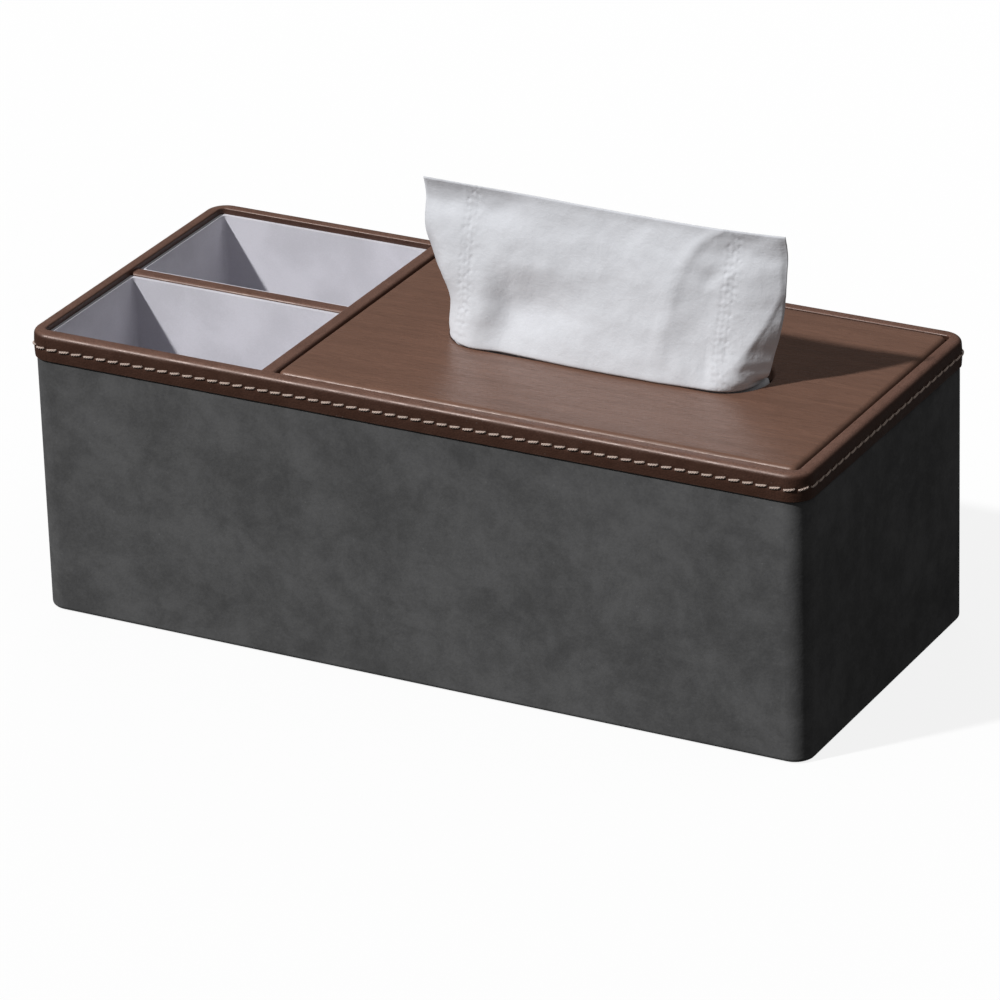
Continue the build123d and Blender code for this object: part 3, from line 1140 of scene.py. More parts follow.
@dataclass
class RimBand:
    """The leather band folded over the rim, and the thread that is sewn round it."""

    half_length: float = 140.6
    half_width: float = 62.1
    corner: float = 7.6
    inner_half_length: float = 136.1
    inner_half_width: float = 57.6
    inner_corner: float = 2.0
    leather: float = 0.6
    hidden_face: float = 0.58
    bottom: float = 90.6
    top: float = 100.0
    flap_bottom: float = 93.0
    face_heights: tuple[float, ...] = (
        90.7, 90.9, 91.3, 91.9, 92.6, 93.3, 93.9, 94.25, 94.5, 94.7,
        94.85, 95.0, 95.15, 95.3, 95.5, 95.75, 96.1, 96.6, 97.1, 97.6,
    )
    edge_radius: float = 1.9
    edge_steps: int = 8
    inner_edge_radius: float = 0.6
    inner_edge_steps: int = 5
    puff: float = 0.16
    hem_waviness: float = 0.05
    seam_at: float = 0.123896
    seam_width: float = 0.3
    seam_depth: float = 0.28
    stitch_height: float = 95.0
    stitch_count: int = 171
    stitch_length: float = 4.0
    stitch_slant: float = 8.0
    steps_per_stitch: int = 12
    groove: float = 0.22
    groove_width: float = 0.62
    pull_between_holes: float = 0.4
    pull_at_hole: float = 0.75
    hole_reach: float = 0.75
    strands: int = 3
    strand_steps: int = 14
    strand_sides: int = 6
    strand_radii: tuple[float, float] = (0.25, 0.24)
    strand_turns: float = 1.5
    twist_radii: tuple[float, float] = (0.2, 0.21)
    pressed: float = 0.8
    thread_lift: float = 0.16
    thread_arch: float = 0.2
    thread_dive: float = 0.75

    @property
    def lap(self) -> float:
        """The length of the outer face, once round."""
        straight = 4 * (self.half_length + self.half_width - 2 * self.corner)
        return straight + 2 * math.pi * self.corner

    def ring_point(self, along: float, inner: bool) -> tuple[Vector, Vector]:
        """Find a point on the outer or inner outline.

        Args:
            along: the distance round the outer face from the front's left end.
            inner: whether to give the matching point of the inner outline.

        Returns:
            The point and its outward normal.
        """
        across = [self.half_length - self.corner, self.half_width - self.corner] * 2
        arc = self.corner * math.pi / 2
        side = 0
        while along > 2 * across[side] + arc and side < 3:
            along -= 2 * across[side] + arc
            side += 1
        run = 2 * across[side]
        share = min(along / run, 1.0)
        turn = max(along - run, 0.0) / self.corner
        half_x = self.inner_half_length if inner else self.half_length
        half_y = self.inner_half_width if inner else self.half_width
        radius = self.inner_corner if inner else self.corner
        start, end = (
            Vector((x * (half_x - radius), y * (half_y - radius)))
            for x, y in (CORNERS[side - 1], CORNERS[side])
        )
        angle = math.radians(-90 + 90 * side) + turn
        normal = Vector((math.cos(angle), math.sin(angle)))
        return start.lerp(end, share) + normal * radius, normal

    def profile(self) -> list[tuple[bool, float, float]]:
        """The band's closed section, from the outer face over the rim and back underneath.

        Returns:
            Rows of (measured from the inner outline, outward offset, height).
        """
        section = [(False, 0.0, height) for height in self.face_heights]
        for step in range(self.edge_steps + 1):
            angle = math.pi / 2 * step / self.edge_steps
            inset = self.edge_radius * (1 - math.cos(angle))
            drop = self.edge_radius * (1 - math.sin(angle))
            section.append((False, -inset, self.top - drop))
        section += [(False, -2.4, self.top + 0.02), (True, 1.6, self.top + 0.03)]
        section.append((True, 1.1, self.top + 0.03))
        for step in range(self.inner_edge_steps + 1):
            angle = math.pi / 2 * step / self.inner_edge_steps
            inset = self.inner_edge_radius * (1 - math.sin(angle))
            drop = self.inner_edge_radius * (1 - math.cos(angle))
            section.append((True, inset, self.top - drop))
        section += [(True, 0.0, height) for height in (98.6, 97.4, 96.0, 94.5)]
        section += [(True, 0.06, self.flap_bottom + 0.1), (True, 0.2, self.flap_bottom)]
        hidden = self.hidden_face
        section += [(True, 0.5, self.flap_bottom), (True, hidden, self.flap_bottom + 0.1)]
        underside = self.top - self.leather - 0.05
        section += [(True, hidden, 96.0), (True, hidden, underside)]
        section += [(False, -hidden, underside), (False, -hidden, 96.0)]
        section += [(False, -hidden, self.bottom + 0.15), (False, -0.45, self.bottom)]
        section.append((False, -0.15, self.bottom))
        return section

    def relief(self, along: float, height: float) -> float:
        """Shape the outer face: puffed leather, drawn in by the thread.

        Args:
            along: the distance round the face.
            height: the height.

        Returns:
            How far the face stands out there, in millimetres.
        """
        pitch = self.lap / self.stitch_count
        phase = along / pitch % 1.0
        hole = min(phase, 1 - phase) * pitch
        near_hole = math.exp(-((hole / self.hole_reach) ** 2))
        pull = self.pull_between_holes + self.pull_at_hole * near_hole
        beside = (height - self.stitch_height) / self.groove_width
        depth = self.groove * pull * math.exp(-(beside**2))
        rise = (height - self.bottom) / (self.top - self.edge_radius - self.bottom)
        swell = self.puff * math.sin(math.pi * min(max(rise, 0.0), 1.0))
        drift = 0.05 * noise.noise(Vector((along * 0.05, height * 0.2, 3.1)))
        return swell + drift - depth

    def build(self, workshop: Workshop) -> None:
        """Build the band and its stitches.

        Args:
            workshop: makes the pieces.
        """
        section = self.profile()
        relief_rows = len(self.face_heights) + 1
        seam_rows = relief_rows + self.edge_steps
        steps = self.stitch_count * self.steps_per_stitch
        points = []
        for step in range(steps):
            along = self.lap * step / steps
            outer, outward = self.ring_point(along, False)
            inner, inner_normal = self.ring_point(along, True)
            past_seam = (along - self.seam_at) % self.lap
            seam = self.seam_depth * math.exp(-((past_seam / self.seam_width) ** 2))
            hem = self.hem_waviness * noise.noise(Vector((along * 0.11, 0.0, 7.7)))
            for index, (from_inner, offset, height) in enumerate(section):
                if from_inner:
                    place = inner + inner_normal * offset
                else:
                    out = self.relief(along, height) if index < relief_rows else 0.0
                    out -= seam if index < seam_rows else 0.0
                    place = outer + outward * (offset + out)
                drop = hem if height < self.bottom + 0.5 else 0.0
                points.append((place.x, place.y, height + drop))
        workshop.piece(
            "rim_band",
            points,
            loop_faces(steps, len(section), True),
            Slot.LEATHER,
            Body.CARCASS,
            ("rim_trim",),
        )
        self.build_stitches(workshop)

    def build_stitches(self, workshop: Workshop) -> None:
        """Build every stitch as twisted strands that dive into the leather at both ends.

        Args:
            workshop: makes the piece.
        """
        points: list[Point] = []
        faces: list[Face] = []
        for number in range(self.stitch_count):
            along = self.lap * (number + 0.5) / self.stitch_count
            random.seed(number)
            tilt = math.radians(self.stitch_slant) + random.uniform(-0.03, 0.03)
            length = self.stitch_length * random.uniform(0.96, 1.04)
            spin = random.uniform(0, 2 * math.pi)
            for strand in range(self.strands):
                start = spin + 2 * math.pi * strand / self.strands
                first = len(points)
                points += self.strand(along, length, tilt, start)
                faces += capped_tube(first, self.strand_steps + 1, self.strand_sides)
        workshop.piece(
            "rim_stitches", points, faces, Slot.THREAD, Body.CARCASS, ("rim_stitching",)
        )

    def strand(self, along: float, length: float, tilt: float, start: float) -> list[Point]:
        """Lay one strand of a stitch.

        Args:
            along: the distance of the stitch's middle round the outer face.
            length: the stitch's length.
            tilt: how far the stitch rises towards its end, in radians.
            start: where the strand's twist starts, in radians.

        Returns:
            The rings of points of the strand's tube.
        """
        strand_out, strand_up = self.strand_radii
        twist_out, twist_up = self.twist_radii
        points = []
        for step in range(self.strand_steps + 1):
            share = 2 * step / self.strand_steps - 1
            run = share * length / 2
            outer, outward = self.ring_point(along + run * math.cos(tilt), False)
            lift = self.thread_lift + self.thread_arch * (1 - abs(share) ** 3)
            lift -= self.thread_dive * smooth(abs(share), 0.8, 1.05)
            twist = start + self.strand_turns * math.pi * share
            body = 0.8 + 0.2 * (1 - share * share)
            for side in range(self.strand_sides):
                around = 2 * math.pi * side / self.strand_sides
                out = twist_out * math.cos(twist) + strand_out * math.cos(around)
                rise = twist_up * math.sin(twist) + strand_up * math.sin(around)
                place = outer + outward * (lift + self.pressed * out * body)
                height = self.stitch_height + run * math.sin(tilt) + rise * body
                points.append((place.x, place.y, height))
        return points


# ---------------------------------------------------------------- tissues


@dataclass
class TopTissue:
    """The sheet that stands in the slot: creased, curled back at its ends and embossed.

    The tables go by height where their name doesn't say otherwise.
    """

    centre_x: float = 42.05
    width: float = 128.4
    front_y: float = -14.7
    half_thickness: float = 0.4
    fold_z: float = 54.2
    fold_rise: tuple[float, float] = (90.0, 97.0)
    crease_rise: tuple[float, float] = (91.0, 97.0)
    slot_below: float = 92.3
    slot_above: float = 102.7
    top: float = 151.2
    lean: float = 11.0
    paper: float = 0.22
    row_step: float = 1.4
    shown_row_step: float = 0.5
    edge_row_step: float = 0.16
    smoothing: float = 1.6
    edge_smoothing: float = 0.8
    column_step: float = 0.9
    fine_column_step: float = 0.42
    fine_across: Table = ((-51.5, -41.0), (39.0, 65.0))
    end_run: float = 3.5
    curl_radius: float = 14.0
    left_bends: Table = (
        (54.0, 5.0), (73.0, 46.0), (92.0, 88.0), (101.5, 89.0), (105.0, 85.0), (110.0, 80.0),
        (116.0, 72.0), (122.0, 57.0), (129.0, 43.0), (135.0, 27.0), (144.0, 12.0), (152.0, 5.0),
    )
    right_bends: Table = (
        (54.0, 5.0), (73.0, 46.0), (92.0, 88.0), (102.0, 88.0), (107.0, 71.0), (112.0, 63.0),
        (118.0, 60.0), (124.0, 55.0), (130.0, 46.0), (136.0, 30.0), (142.0, 17.0), (152.0, 7.0),
    )
    fold_starts: Table = (
        (97.0, 40.25), (100.5, 40.2), (104.0, 43.8), (107.5, 46.4),
        (111.0, 50.1), (120.7, 56.4), (128.5, 60.0), (134.0, 61.8),
    )
    fold_radii: Table = (
        (97.0, 14.0), (100.0, 13.0), (103.0, 10.0),
        (107.0, 6.5), (111.0, 4.0), (116.0, 2.6),
    )
    flap_bends: Table = ((100.0, 50.0), (108.0, 49.5), (114.0, 46.5), (120.0, 41.0), (126.0, 34.0))
    flap_flattening: tuple[float, float] = (100.6, 107.0)
    tuck_bend: float = 130.0
    tuck_radius: float = 1.0
    sight: float = 28.66
    top_line_across: Table = (
        (-65.0, 1.3), (-50.0, 1.1), (-23.0, 0.87), (-8.0, 0.45), (6.0, 0.08),
        (20.0, 0.0), (34.0, -0.05), (48.0, 0.4), (58.0, 0.85), (65.0, 1.35),
    )
    long_crease: Table = (
        (99.0, 25.0), (106.3, 25.1), (114.6, 25.5), (121.3, 26.7), (129.6, 28.2),
        (137.1, 30.5), (144.0, 34.2), (148.0, 38.5), (152.0, 45.0),
    )
    depth_past_crease: Table = (
        (0.0, 0.0), (0.8, 0.1), (3.0, 0.7), (11.0, 2.3), (20.0, 2.9), (28.0, 4.1), (38.0, 6.0),
    )
    over_edge: Table = (
        (98.9, 0.0), (99.5, 0.08), (99.9, 0.36), (100.1, 0.62), (100.25, 0.9), (100.45, 1.6),
        (100.7, 2.1), (101.3, 2.35), (103.0, 2.0), (105.0, 1.6), (110.0, 1.0), (115.0, 0.5),
        (120.0, 0.2), (126.0, 0.0),
    )
    waves: tuple[Wave, ...] = (
        Wave(0.7, 36.0, 27.0, 1.7),
        Wave(0.45, 15.0, 12.0, 5.3),
        Wave(0.26, 6.5, 6.0, 9.1),
        Wave(0.07, 2.9, 2.7, 4.6),
    )
    base_folds: tuple[Bulge, ...] = (
        Bulge(0.9, 31.5, 4.0, 104.5, 4.0),
        Bulge(-0.8, 39.5, 2.2, 106.5, 5.0),
    )
    short_fold_place: tuple[float, float] = (44.2, 135.2)
    dent_depth: float = 4.1
    emboss_left: float = -46.4
    emboss_right: float = 44.0
    emboss_depth: float = 0.22
    emboss_reach: float = 4.0
    emboss_pitch: float = 2.15
    emboss_lane_gap: float = 1.75
    emboss_tilt: float = 42.0
    mark_half_length: float = 0.45
    mark_end: float = 0.3
    mark_half_width: float = 0.34

    def section_path(self) -> list[tuple[float, float]]:
        """Draw the sheet's run seen from its side, from its tail to its top edge.

        Returns:
            Points of (y, z).
        """
        low = self.fold_z + self.half_thickness
        path = [(47.9, low), (26.0, low)]
        path += [
            (25.1 - 4 * math.sin(turn), low + 4 - 4 * math.cos(turn))
            for turn in (0.3, 0.7, 1.1, 1.5)
        ]
        path += [(20.8, 62.0), (20.9, 66.0)]
        path += [
            (14.1 + 6.6 * math.cos(turn), 70.2 + 6.6 * math.sin(turn))
            for turn in (0.0, 0.5, 1.05, 1.57, 2.1, 2.65, 3.14)
        ]
        path += [(7.5, 66.0), (7.5, 62.0)]
        path += [
            (3.4 + 4 * math.cos(turn), low + 4 - 4 * math.sin(turn))
            for turn in (0.1, 0.5, 0.9, 1.3)
        ]
        path += [(2.0, low), (-5.0, low), (-6.8, low + 0.5), (-7.6, low + 2.0)]
        slot_y = self.front_y + self.half_thickness
        path += [(-9.6, (self.fold_z + self.slot_below) / 2), (slot_y, self.slot_below)]
        path.append((slot_y, self.slot_above))
        for step in range(1, 13):
            share = step / 12
            height = self.slot_above + share * (self.top - self.slot_above)
            path.append((slot_y + self.lean * share**1.3, height))
        return path

    def rows(self) -> list[tuple[float, float, float, float]]:
        """Find places along the sheet, closer together where it shows.

        Returns:
            Rows of (y, z, backward normal's y, backward normal's z).
        """
        path = self.section_path()
        gaps = [math.dist(one, two) for one, two in zip(path, path[1:])]
        marks = [0.0]
        for gap in gaps:
            marks.append(marks[-1] + gap)

        def at(distance: float) -> Vector:
            """Find the point at a distance along the path.

            Args:
                distance: the distance.

            Returns:
                The point.
            """
            index = 0
            while index < len(gaps) - 1 and distance > marks[index + 1]:
                index += 1
            share = (distance - marks[index]) / gaps[index]
            return Vector(path[index]).lerp(Vector(path[index + 1]), share)

        result = []
        distance = 0.0
        while distance < marks[-1] + 1e-6:
            near_edge = 97 < at(distance).y < 103
            reach = self.edge_smoothing if near_edge else self.smoothing
            before = at(max(distance - reach, 0.0))
            after = at(min(distance + reach, marks[-1]))
            here = at(distance).lerp((before + after) / 2, 0.6)
            heading = (after - before).normalized()
            result.append((here.x, here.y, heading.y, -heading.x))
            fine = self.edge_row_step if 98.6 < here.y < 102 else self.shown_row_step
            distance += fine if here.y > 90 and here.x < 0 else self.row_step
        here = at(marks[-1])
        result.append((here.x, here.y, result[-1][2], result[-1][3]))
        return result

    def columns(self) -> list[float]:
        """Find places across the sheet, closer together at the embossed lines and the fold.

        Returns:
            The places, from the sheet's middle.
        """
        result = [-self.width / 2]
        while result[-1] < self.width / 2 - 0.3:
            here = result[-1]
            fine = any(low < here < high for low, high in self.fine_across)
            result.append(here + (self.fine_column_step if fine else self.column_step))
        result[-1] = self.width / 2
        return result

    def emboss(self, across: float, height: float) -> float:
        """Press the marks that hold the two plies together.

        Args:
            across: the place, from the sheet's middle.
            height: the height.

        Returns:
            The depth of the marks there, in millimetres.
        """
        left = across < 0
        if left:
            middle = self.emboss_left + 0.3 * math.sin(height * 0.13)
        else:
            middle = self.emboss_right + (height - 101) * 0.06
        side = across - middle
        if abs(side) > self.emboss_reach:
            return 0.0
        number = round(height / self.emboss_pitch)
        depth = 0.0
        for row in (number - 1, number, number + 1):
            for lane in (-1, 0, 1):
                strength = 0.75 + 0.8 * noise.noise(Vector((row * 3.7, lane * 5.1 + left, 0.4)))
                tilt = math.radians(self.emboss_tilt) * (1 if (row + lane) % 2 else -1)
                off_x = side - self.emboss_lane_gap * lane
                off_z = height - row * self.emboss_pitch - (0.4 if lane == 0 else 0.0)
                along = off_x * math.sin(tilt) + off_z * math.cos(tilt)
                aside = off_x * math.cos(tilt) - off_z * math.sin(tilt)
                past = max(abs(along) - self.mark_half_length, 0.0) / self.mark_end
                mark = math.exp(-(past**2) - (aside / self.mark_half_width) ** 2)
                depth = max(depth, max(strength, 0.25) * mark)
        return self.emboss_depth * depth

    def dent(self, across: float, height: float) -> float:
        """Press the three-cornered dent into the left half.

        Args:
            across: the place, from the sheet's middle.
            height: the height.

        Returns:
            The dent's depth there, in millimetres.
        """
        valley = (height - 103.0) * 0.72 - (across + 37.0) * 0.694
        sides = smooth(across, -40.5, -30.0) * (1 - smooth(height, 114.0, 131.5))
        sides *= 1 - smooth(across, -22.0, 6.0)
        kept = (0.4 + 0.6 * smooth(height, 97.0, 118.0)) * smooth(height, *self.crease_rise)
        return self.dent_depth * sides * smooth(valley, -34.0, 2.0) * kept

    def turned_back(self, across: float, height: float) -> float:
        """Turn the sheet back to the right of its long crease.

        Args:
            across: the place, from the sheet's middle.
            height: the height.

        Returns:
            How far the sheet stands back there, in millimetres.
        """
        flat_part = min(across, along_table(height, self.fold_starts) + 2.0)
        past = flat_part - along_table(height, self.long_crease)
        share = (0.35 + 0.65 * smooth(height, 100.5, 118.0)) * smooth(height, *self.crease_rise)
        share *= 1 - 0.3 * smooth(height, 143.0, 152.0)
        ridge = 0.3 * math.exp(-(((past + 1.5) / 2.4) ** 2)) if past < 3 else 0.0
        return share * (along_table(past, self.depth_past_crease) - ridge)

    def small_folds(self, across: float, height: float) -> float:
        """Shape the short folds near the base and near the right-hand emboss.

        Args:
            across: the place, from the sheet's middle.
            height: the height.

        Returns:
            How far they stand out there, in millimetres.
        """
        out = sum(fold.at(across, height) for fold in self.base_folds)
        right, up = across - self.short_fold_place[0], height - self.short_fold_place[1]
        along, aside = right * 0.78 + up * 0.625, up * 0.78 - right * 0.625
        kept = 1 - smooth(abs(along), 3.5, 9.0)
        out += 0.14 * kept * math.exp(-((aside / 1.5) ** 2))
        out -= 0.3 * kept * math.exp(-(((aside - 3.2) / 2.2) ** 2))
        return out

    def relief(self, across: float, height: float) -> float:
        """Shape the standing sheet, from its broad waves to its embossed marks.

        Args:
            across: the place, from the sheet's middle.
            height: the height.

        Returns:
            How far the sheet bulges towards the front there, in millimetres.
        """
        shown = smooth(height, 97.0, 108.0)
        over_edge = along_table(height, self.over_edge)
        over_edge *= 1 - (0.45 if across < 0 else 0.08) * smooth(abs(across), 30.0, 50.0)
        out = sum(wave.at(across, height) for wave in self.waves)
        out += self.small_folds(across, height)
        corner = smooth(-across, 16.0, 48.0)
        out -= (0.3 + 1.3 * corner) * math.exp(-(((height - 144.8) / 4.4) ** 2))
        lip = max(height - 147.6, 0.0)
        out += (0.07 + 0.06 * corner) * lip * lip
        out = out * (0.1 + 0.9 * shown) + over_edge
        out -= self.dent(across, height) + self.turned_back(across, height)
        near_emboss = math.exp(-(((abs(across) - 46.0) / 4.0) ** 2))
        pucker = noise.noise(Vector((across / 2.2, height / 1.7, 2.2)))
        out += 0.2 * near_emboss * pucker * shown
        return out - self.emboss(across, height) * shown

    def place(self, across: float, height: float) -> tuple[float, float]:
        """Find where a place across the sheet goes when its ends are bent back.

        Args:
            across: the place, from the sheet's middle.
            height: the height, which sets the bends.

        Returns:
            The place along X from the middle, and how far back it goes.
        """
        table = self.left_bends if across < 0 else self.right_bends
        bend = math.radians(along_table(height, table))
        radius = self.curl_radius
        start = self.width / 2 - self.end_run - radius * bend
        folded = smooth(height, *self.fold_rise)
        if across > 0:
            start += (along_table(height, self.fold_starts) - start) * folded
            radius += (along_table(height, self.fold_radii) - radius) * folded
        spread = folded * (1 - smooth(height, 103.0, 114.0))
        spread *= 2.0 if across < 0 else 1.5
        spread += 0.3 * along_table(height, self.over_edge)
        spread *= smooth(abs(across), 15.0, 50.0)
        past = abs(across) - start
        if past <= 0:
            return across + math.copysign(spread, across), 0.0
        arcs = [(radius, bend, 0.0)]
        if across > 0:
            arcs = self.flap_arcs(height, self.width / 2 - start, radius, bend)
        reach, back, facing = start + spread, 0.0, 0.0
        for bow, until, flat in arcs:
            turn = min(max(past, 0.0) / bow, until - facing)
            reach += bow * (math.sin(facing + turn) - math.sin(facing))
            back += bow * (math.cos(facing) - math.cos(facing + turn))
            past -= bow * (until - facing)
            facing = until
            run = min(max(past, 0.0), flat)
            reach += run * math.cos(facing)
            back += run * math.sin(facing)
            past -= flat
        past = max(past, 0.0)
        reach += past * math.cos(facing)
        return math.copysign(reach, across), back + past * math.sin(facing)

    def flap_arcs(
        self, height: float, rest: float, radius: float, bend: float
    ) -> list[tuple[float, float, float]]:
        """Split the right-hand bend in two near the slot: a fold, a flat flap and a tuck.

        Args:
            height: the height.
            rest: how much of the sheet lies past the start of the fold.
            radius: the fold's radius.
            bend: the whole bend.

        Returns:
            Rows of (radius, heading after the bend, flat run after it), which look as wide from
            the front right as the whole bend would alone.
        """
        flap = math.radians(along_table(height, self.flap_bends))
        tuck, sight = math.radians(self.tuck_bend), math.radians(self.sight)
        flattened = smooth(height, *self.flap_flattening)
        first = bend + (min(bend, flap) - bend) * flattened
        last = first + (tuck - first) * smooth(bend, flap, flap + 0.25) * flattened
        if last - first < 1e-3:
            return [(radius, bend, 0.0)]

        def seen(bow: float, start: float, end: float) -> float:
            """Measure how wide a bend looks from the front right.

            Args:
                bow: the bend's radius.
                start: the heading before the bend.
                end: the heading after it.

            Returns:
                The width.
            """
            across, away = math.sin(end) - math.sin(start), math.cos(start) - math.cos(end)
            return bow * (across * math.cos(sight) + away * math.sin(sight))

        wide = seen(radius, 0.0, bend) + max(rest - radius * bend, 0.0) * math.cos(bend - sight)
        wide -= seen(radius, 0.0, first)
        wide -= seen(self.tuck_radius, first, min(last, math.pi / 2 + sight))
        flat = min(max(wide / math.cos(first - sight), 0.0), max(rest - radius * first, 0.0))
        return [(radius, first, flat), (self.tuck_radius, last, 0.0)]

    def build(self, workshop: Workshop) -> None:
        """Build the sheet as one surface and give it the thickness of paper.

        Args:
            workshop: makes the piece.
        """
        rows, columns = self.rows(), self.columns()
        points = []
        for y, z, back_y, back_z in rows:
            standing = smooth(-y, -1.0, 6.0) * smooth(z, 56.0, 66.0)
            for across in columns:
                x, back = self.place(across, z if standing > 0 else 54.0)
                back *= standing
                x = across + (x - across) * standing
                out = self.relief(across, z) * standing
                edge = standing * smooth(z, 120.0, 151.0)
                edge *= along_table(across, self.top_line_across)
                ripple = 0.45 * noise.noise(Vector((across / 18, y / 9, z / 9))) + 0.25
                back += (1 - standing) * ripple * (-1 if z < 56 else 1)
                push = back - out
                points.append((self.centre_x + x, y + back_y * push, z + back_z * push + edge))
        wide = len(columns)
        corners = (0, 1, wide + 1, wide)
        faces = [
            tuple(row * wide + column + corner for corner in corners)
            for row in range(len(rows) - 1)
            for column in range(wide - 1)
        ]
        sheet = workshop.piece(
            "top_sheet", points, faces, Slot.TISSUE, Body.LID, ("top_tissue",)
        )
        thicken = sheet.modifiers.new("paper", "SOLIDIFY")
        thicken.thickness = self.paper * MM
        thicken.offset = 0.0


@dataclass
class TissueStack:
    """The tissues left in the bay: flat folded layers, one on the other."""

    low_x: float = -23.25
    high_x: float = 109.75
    half_depth: float = 48.0
    bottom: float = 5.9
    top: float = 53.9
    layers: int = 40
    steps: int = 26
    bend_sides: int = 6
    flat_sides: int = 7
    first_seed: int = 900
    end_gap: float = 0.4
    edge_gap: float = 0.6
    fullness: float = 0.47
    stray: tuple[float, float] = (0.35, 0.45)
    settled_layers: int = 12

    def ring(self, reach: float, half: float) -> list[tuple[float, float]]:
        """Draw a layer's section: flat, with a round fold at the front and the back.

        Args:
            reach: how far it reaches to the front and the back.
            half: half of its thickness.

        Returns:
            Points of (y, z).
        """
        points = []
        for side in (1, -1):
            for part in range(self.bend_sides + 1):
                turn = math.pi / 2 - math.pi * part / self.bend_sides
                bulge = reach - half + half * math.cos(turn)
                points.append((side * bulge, side * half * math.sin(turn)))
            for part in range(1, self.flat_sides):
                y = side * (reach - half) * (1 - 2 * part / self.flat_sides)
                points.append((y, -side * half))
        return points

    def build(self, workshop: Workshop) -> None:
        """Build the layers, each a little out of line and sagging on the ones below.

        Args:
            workshop: makes the piece.
        """
        pitch = (self.top - self.bottom) / self.layers
        half = pitch * self.fullness
        length = self.high_x - self.low_x - 2 * self.end_gap
        points: list[Point] = []
        faces: list[Face] = []
        for layer in range(self.layers):
            random.seed(self.first_seed + layer)
            shift_x, shift_y = (random.uniform(-reach, reach) for reach in self.stray)
            middle = self.bottom + pitch * (layer + 0.5)
            settling = min(1.0, (layer + 1) / self.settled_layers)
            sag = Wave(0.2, 30.0, 26.0, layer * 0.12)
            first = len(points)
            for step in range(self.steps + 1):
                x = self.low_x + self.end_gap + length * step / self.steps + shift_x
                wave = 0.16 * noise.noise(Vector((x / 22, layer * 0.35, 4.4)))
                ring = self.ring(self.half_depth - self.edge_gap - abs(wave), half)
                for y, z in ring:
                    height = middle + z + sag.at(x, y) * settling
                    points.append((x, y + shift_y + wave, min(height, self.top)))
            faces += capped_tube(first, self.steps + 1, len(ring))
        workshop.piece(
            "folded_tissues", points, faces, Slot.TISSUE, Body.CARCASS, ("tissue_stack",)
        )


# ---------------------------------------------------------------- carcass and lid


@dataclass
class Carcass:
    """The covered box: boards, suede wrap, trims, linings and felt."""

    boards: tuple[str, ...] = (
        "base_board",
        "front_board",
        "back_board",
        "left_board",
        "right_board",
        "cross_divider_board",
        "mid_divider_board",
        "lid_ledge_front",
        "lid_ledge_back",
        "lid_ledge_left",
        "lid_ledge_right",
    )
    coverings: tuple[tuple[Slot, tuple[str, ...]], ...] = (
        (Slot.SUEDE, ("outer_wrap",)),
        (Slot.LEATHER, ("cross_divider_trim", "mid_divider_trim")),
        (Slot.TRAY_LINING, ("front_tray_lining", "back_tray_lining")),
        (Slot.BAY_LINING, ("tissue_bay_lining",)),
        (Slot.FELT, ("base_cover",)),
    )

    def build(self, workshop: Workshop) -> None:
        """Dress the carcass's CAD nodes, then build its rim.

        Args:
            workshop: dresses and makes the pieces.
        """
        for slot, nodes in ((Slot.FIBREBOARD, self.boards), *self.coverings):
            for node in nodes:
                workshop.dress(node, slot)
        RimBand().build(workshop)


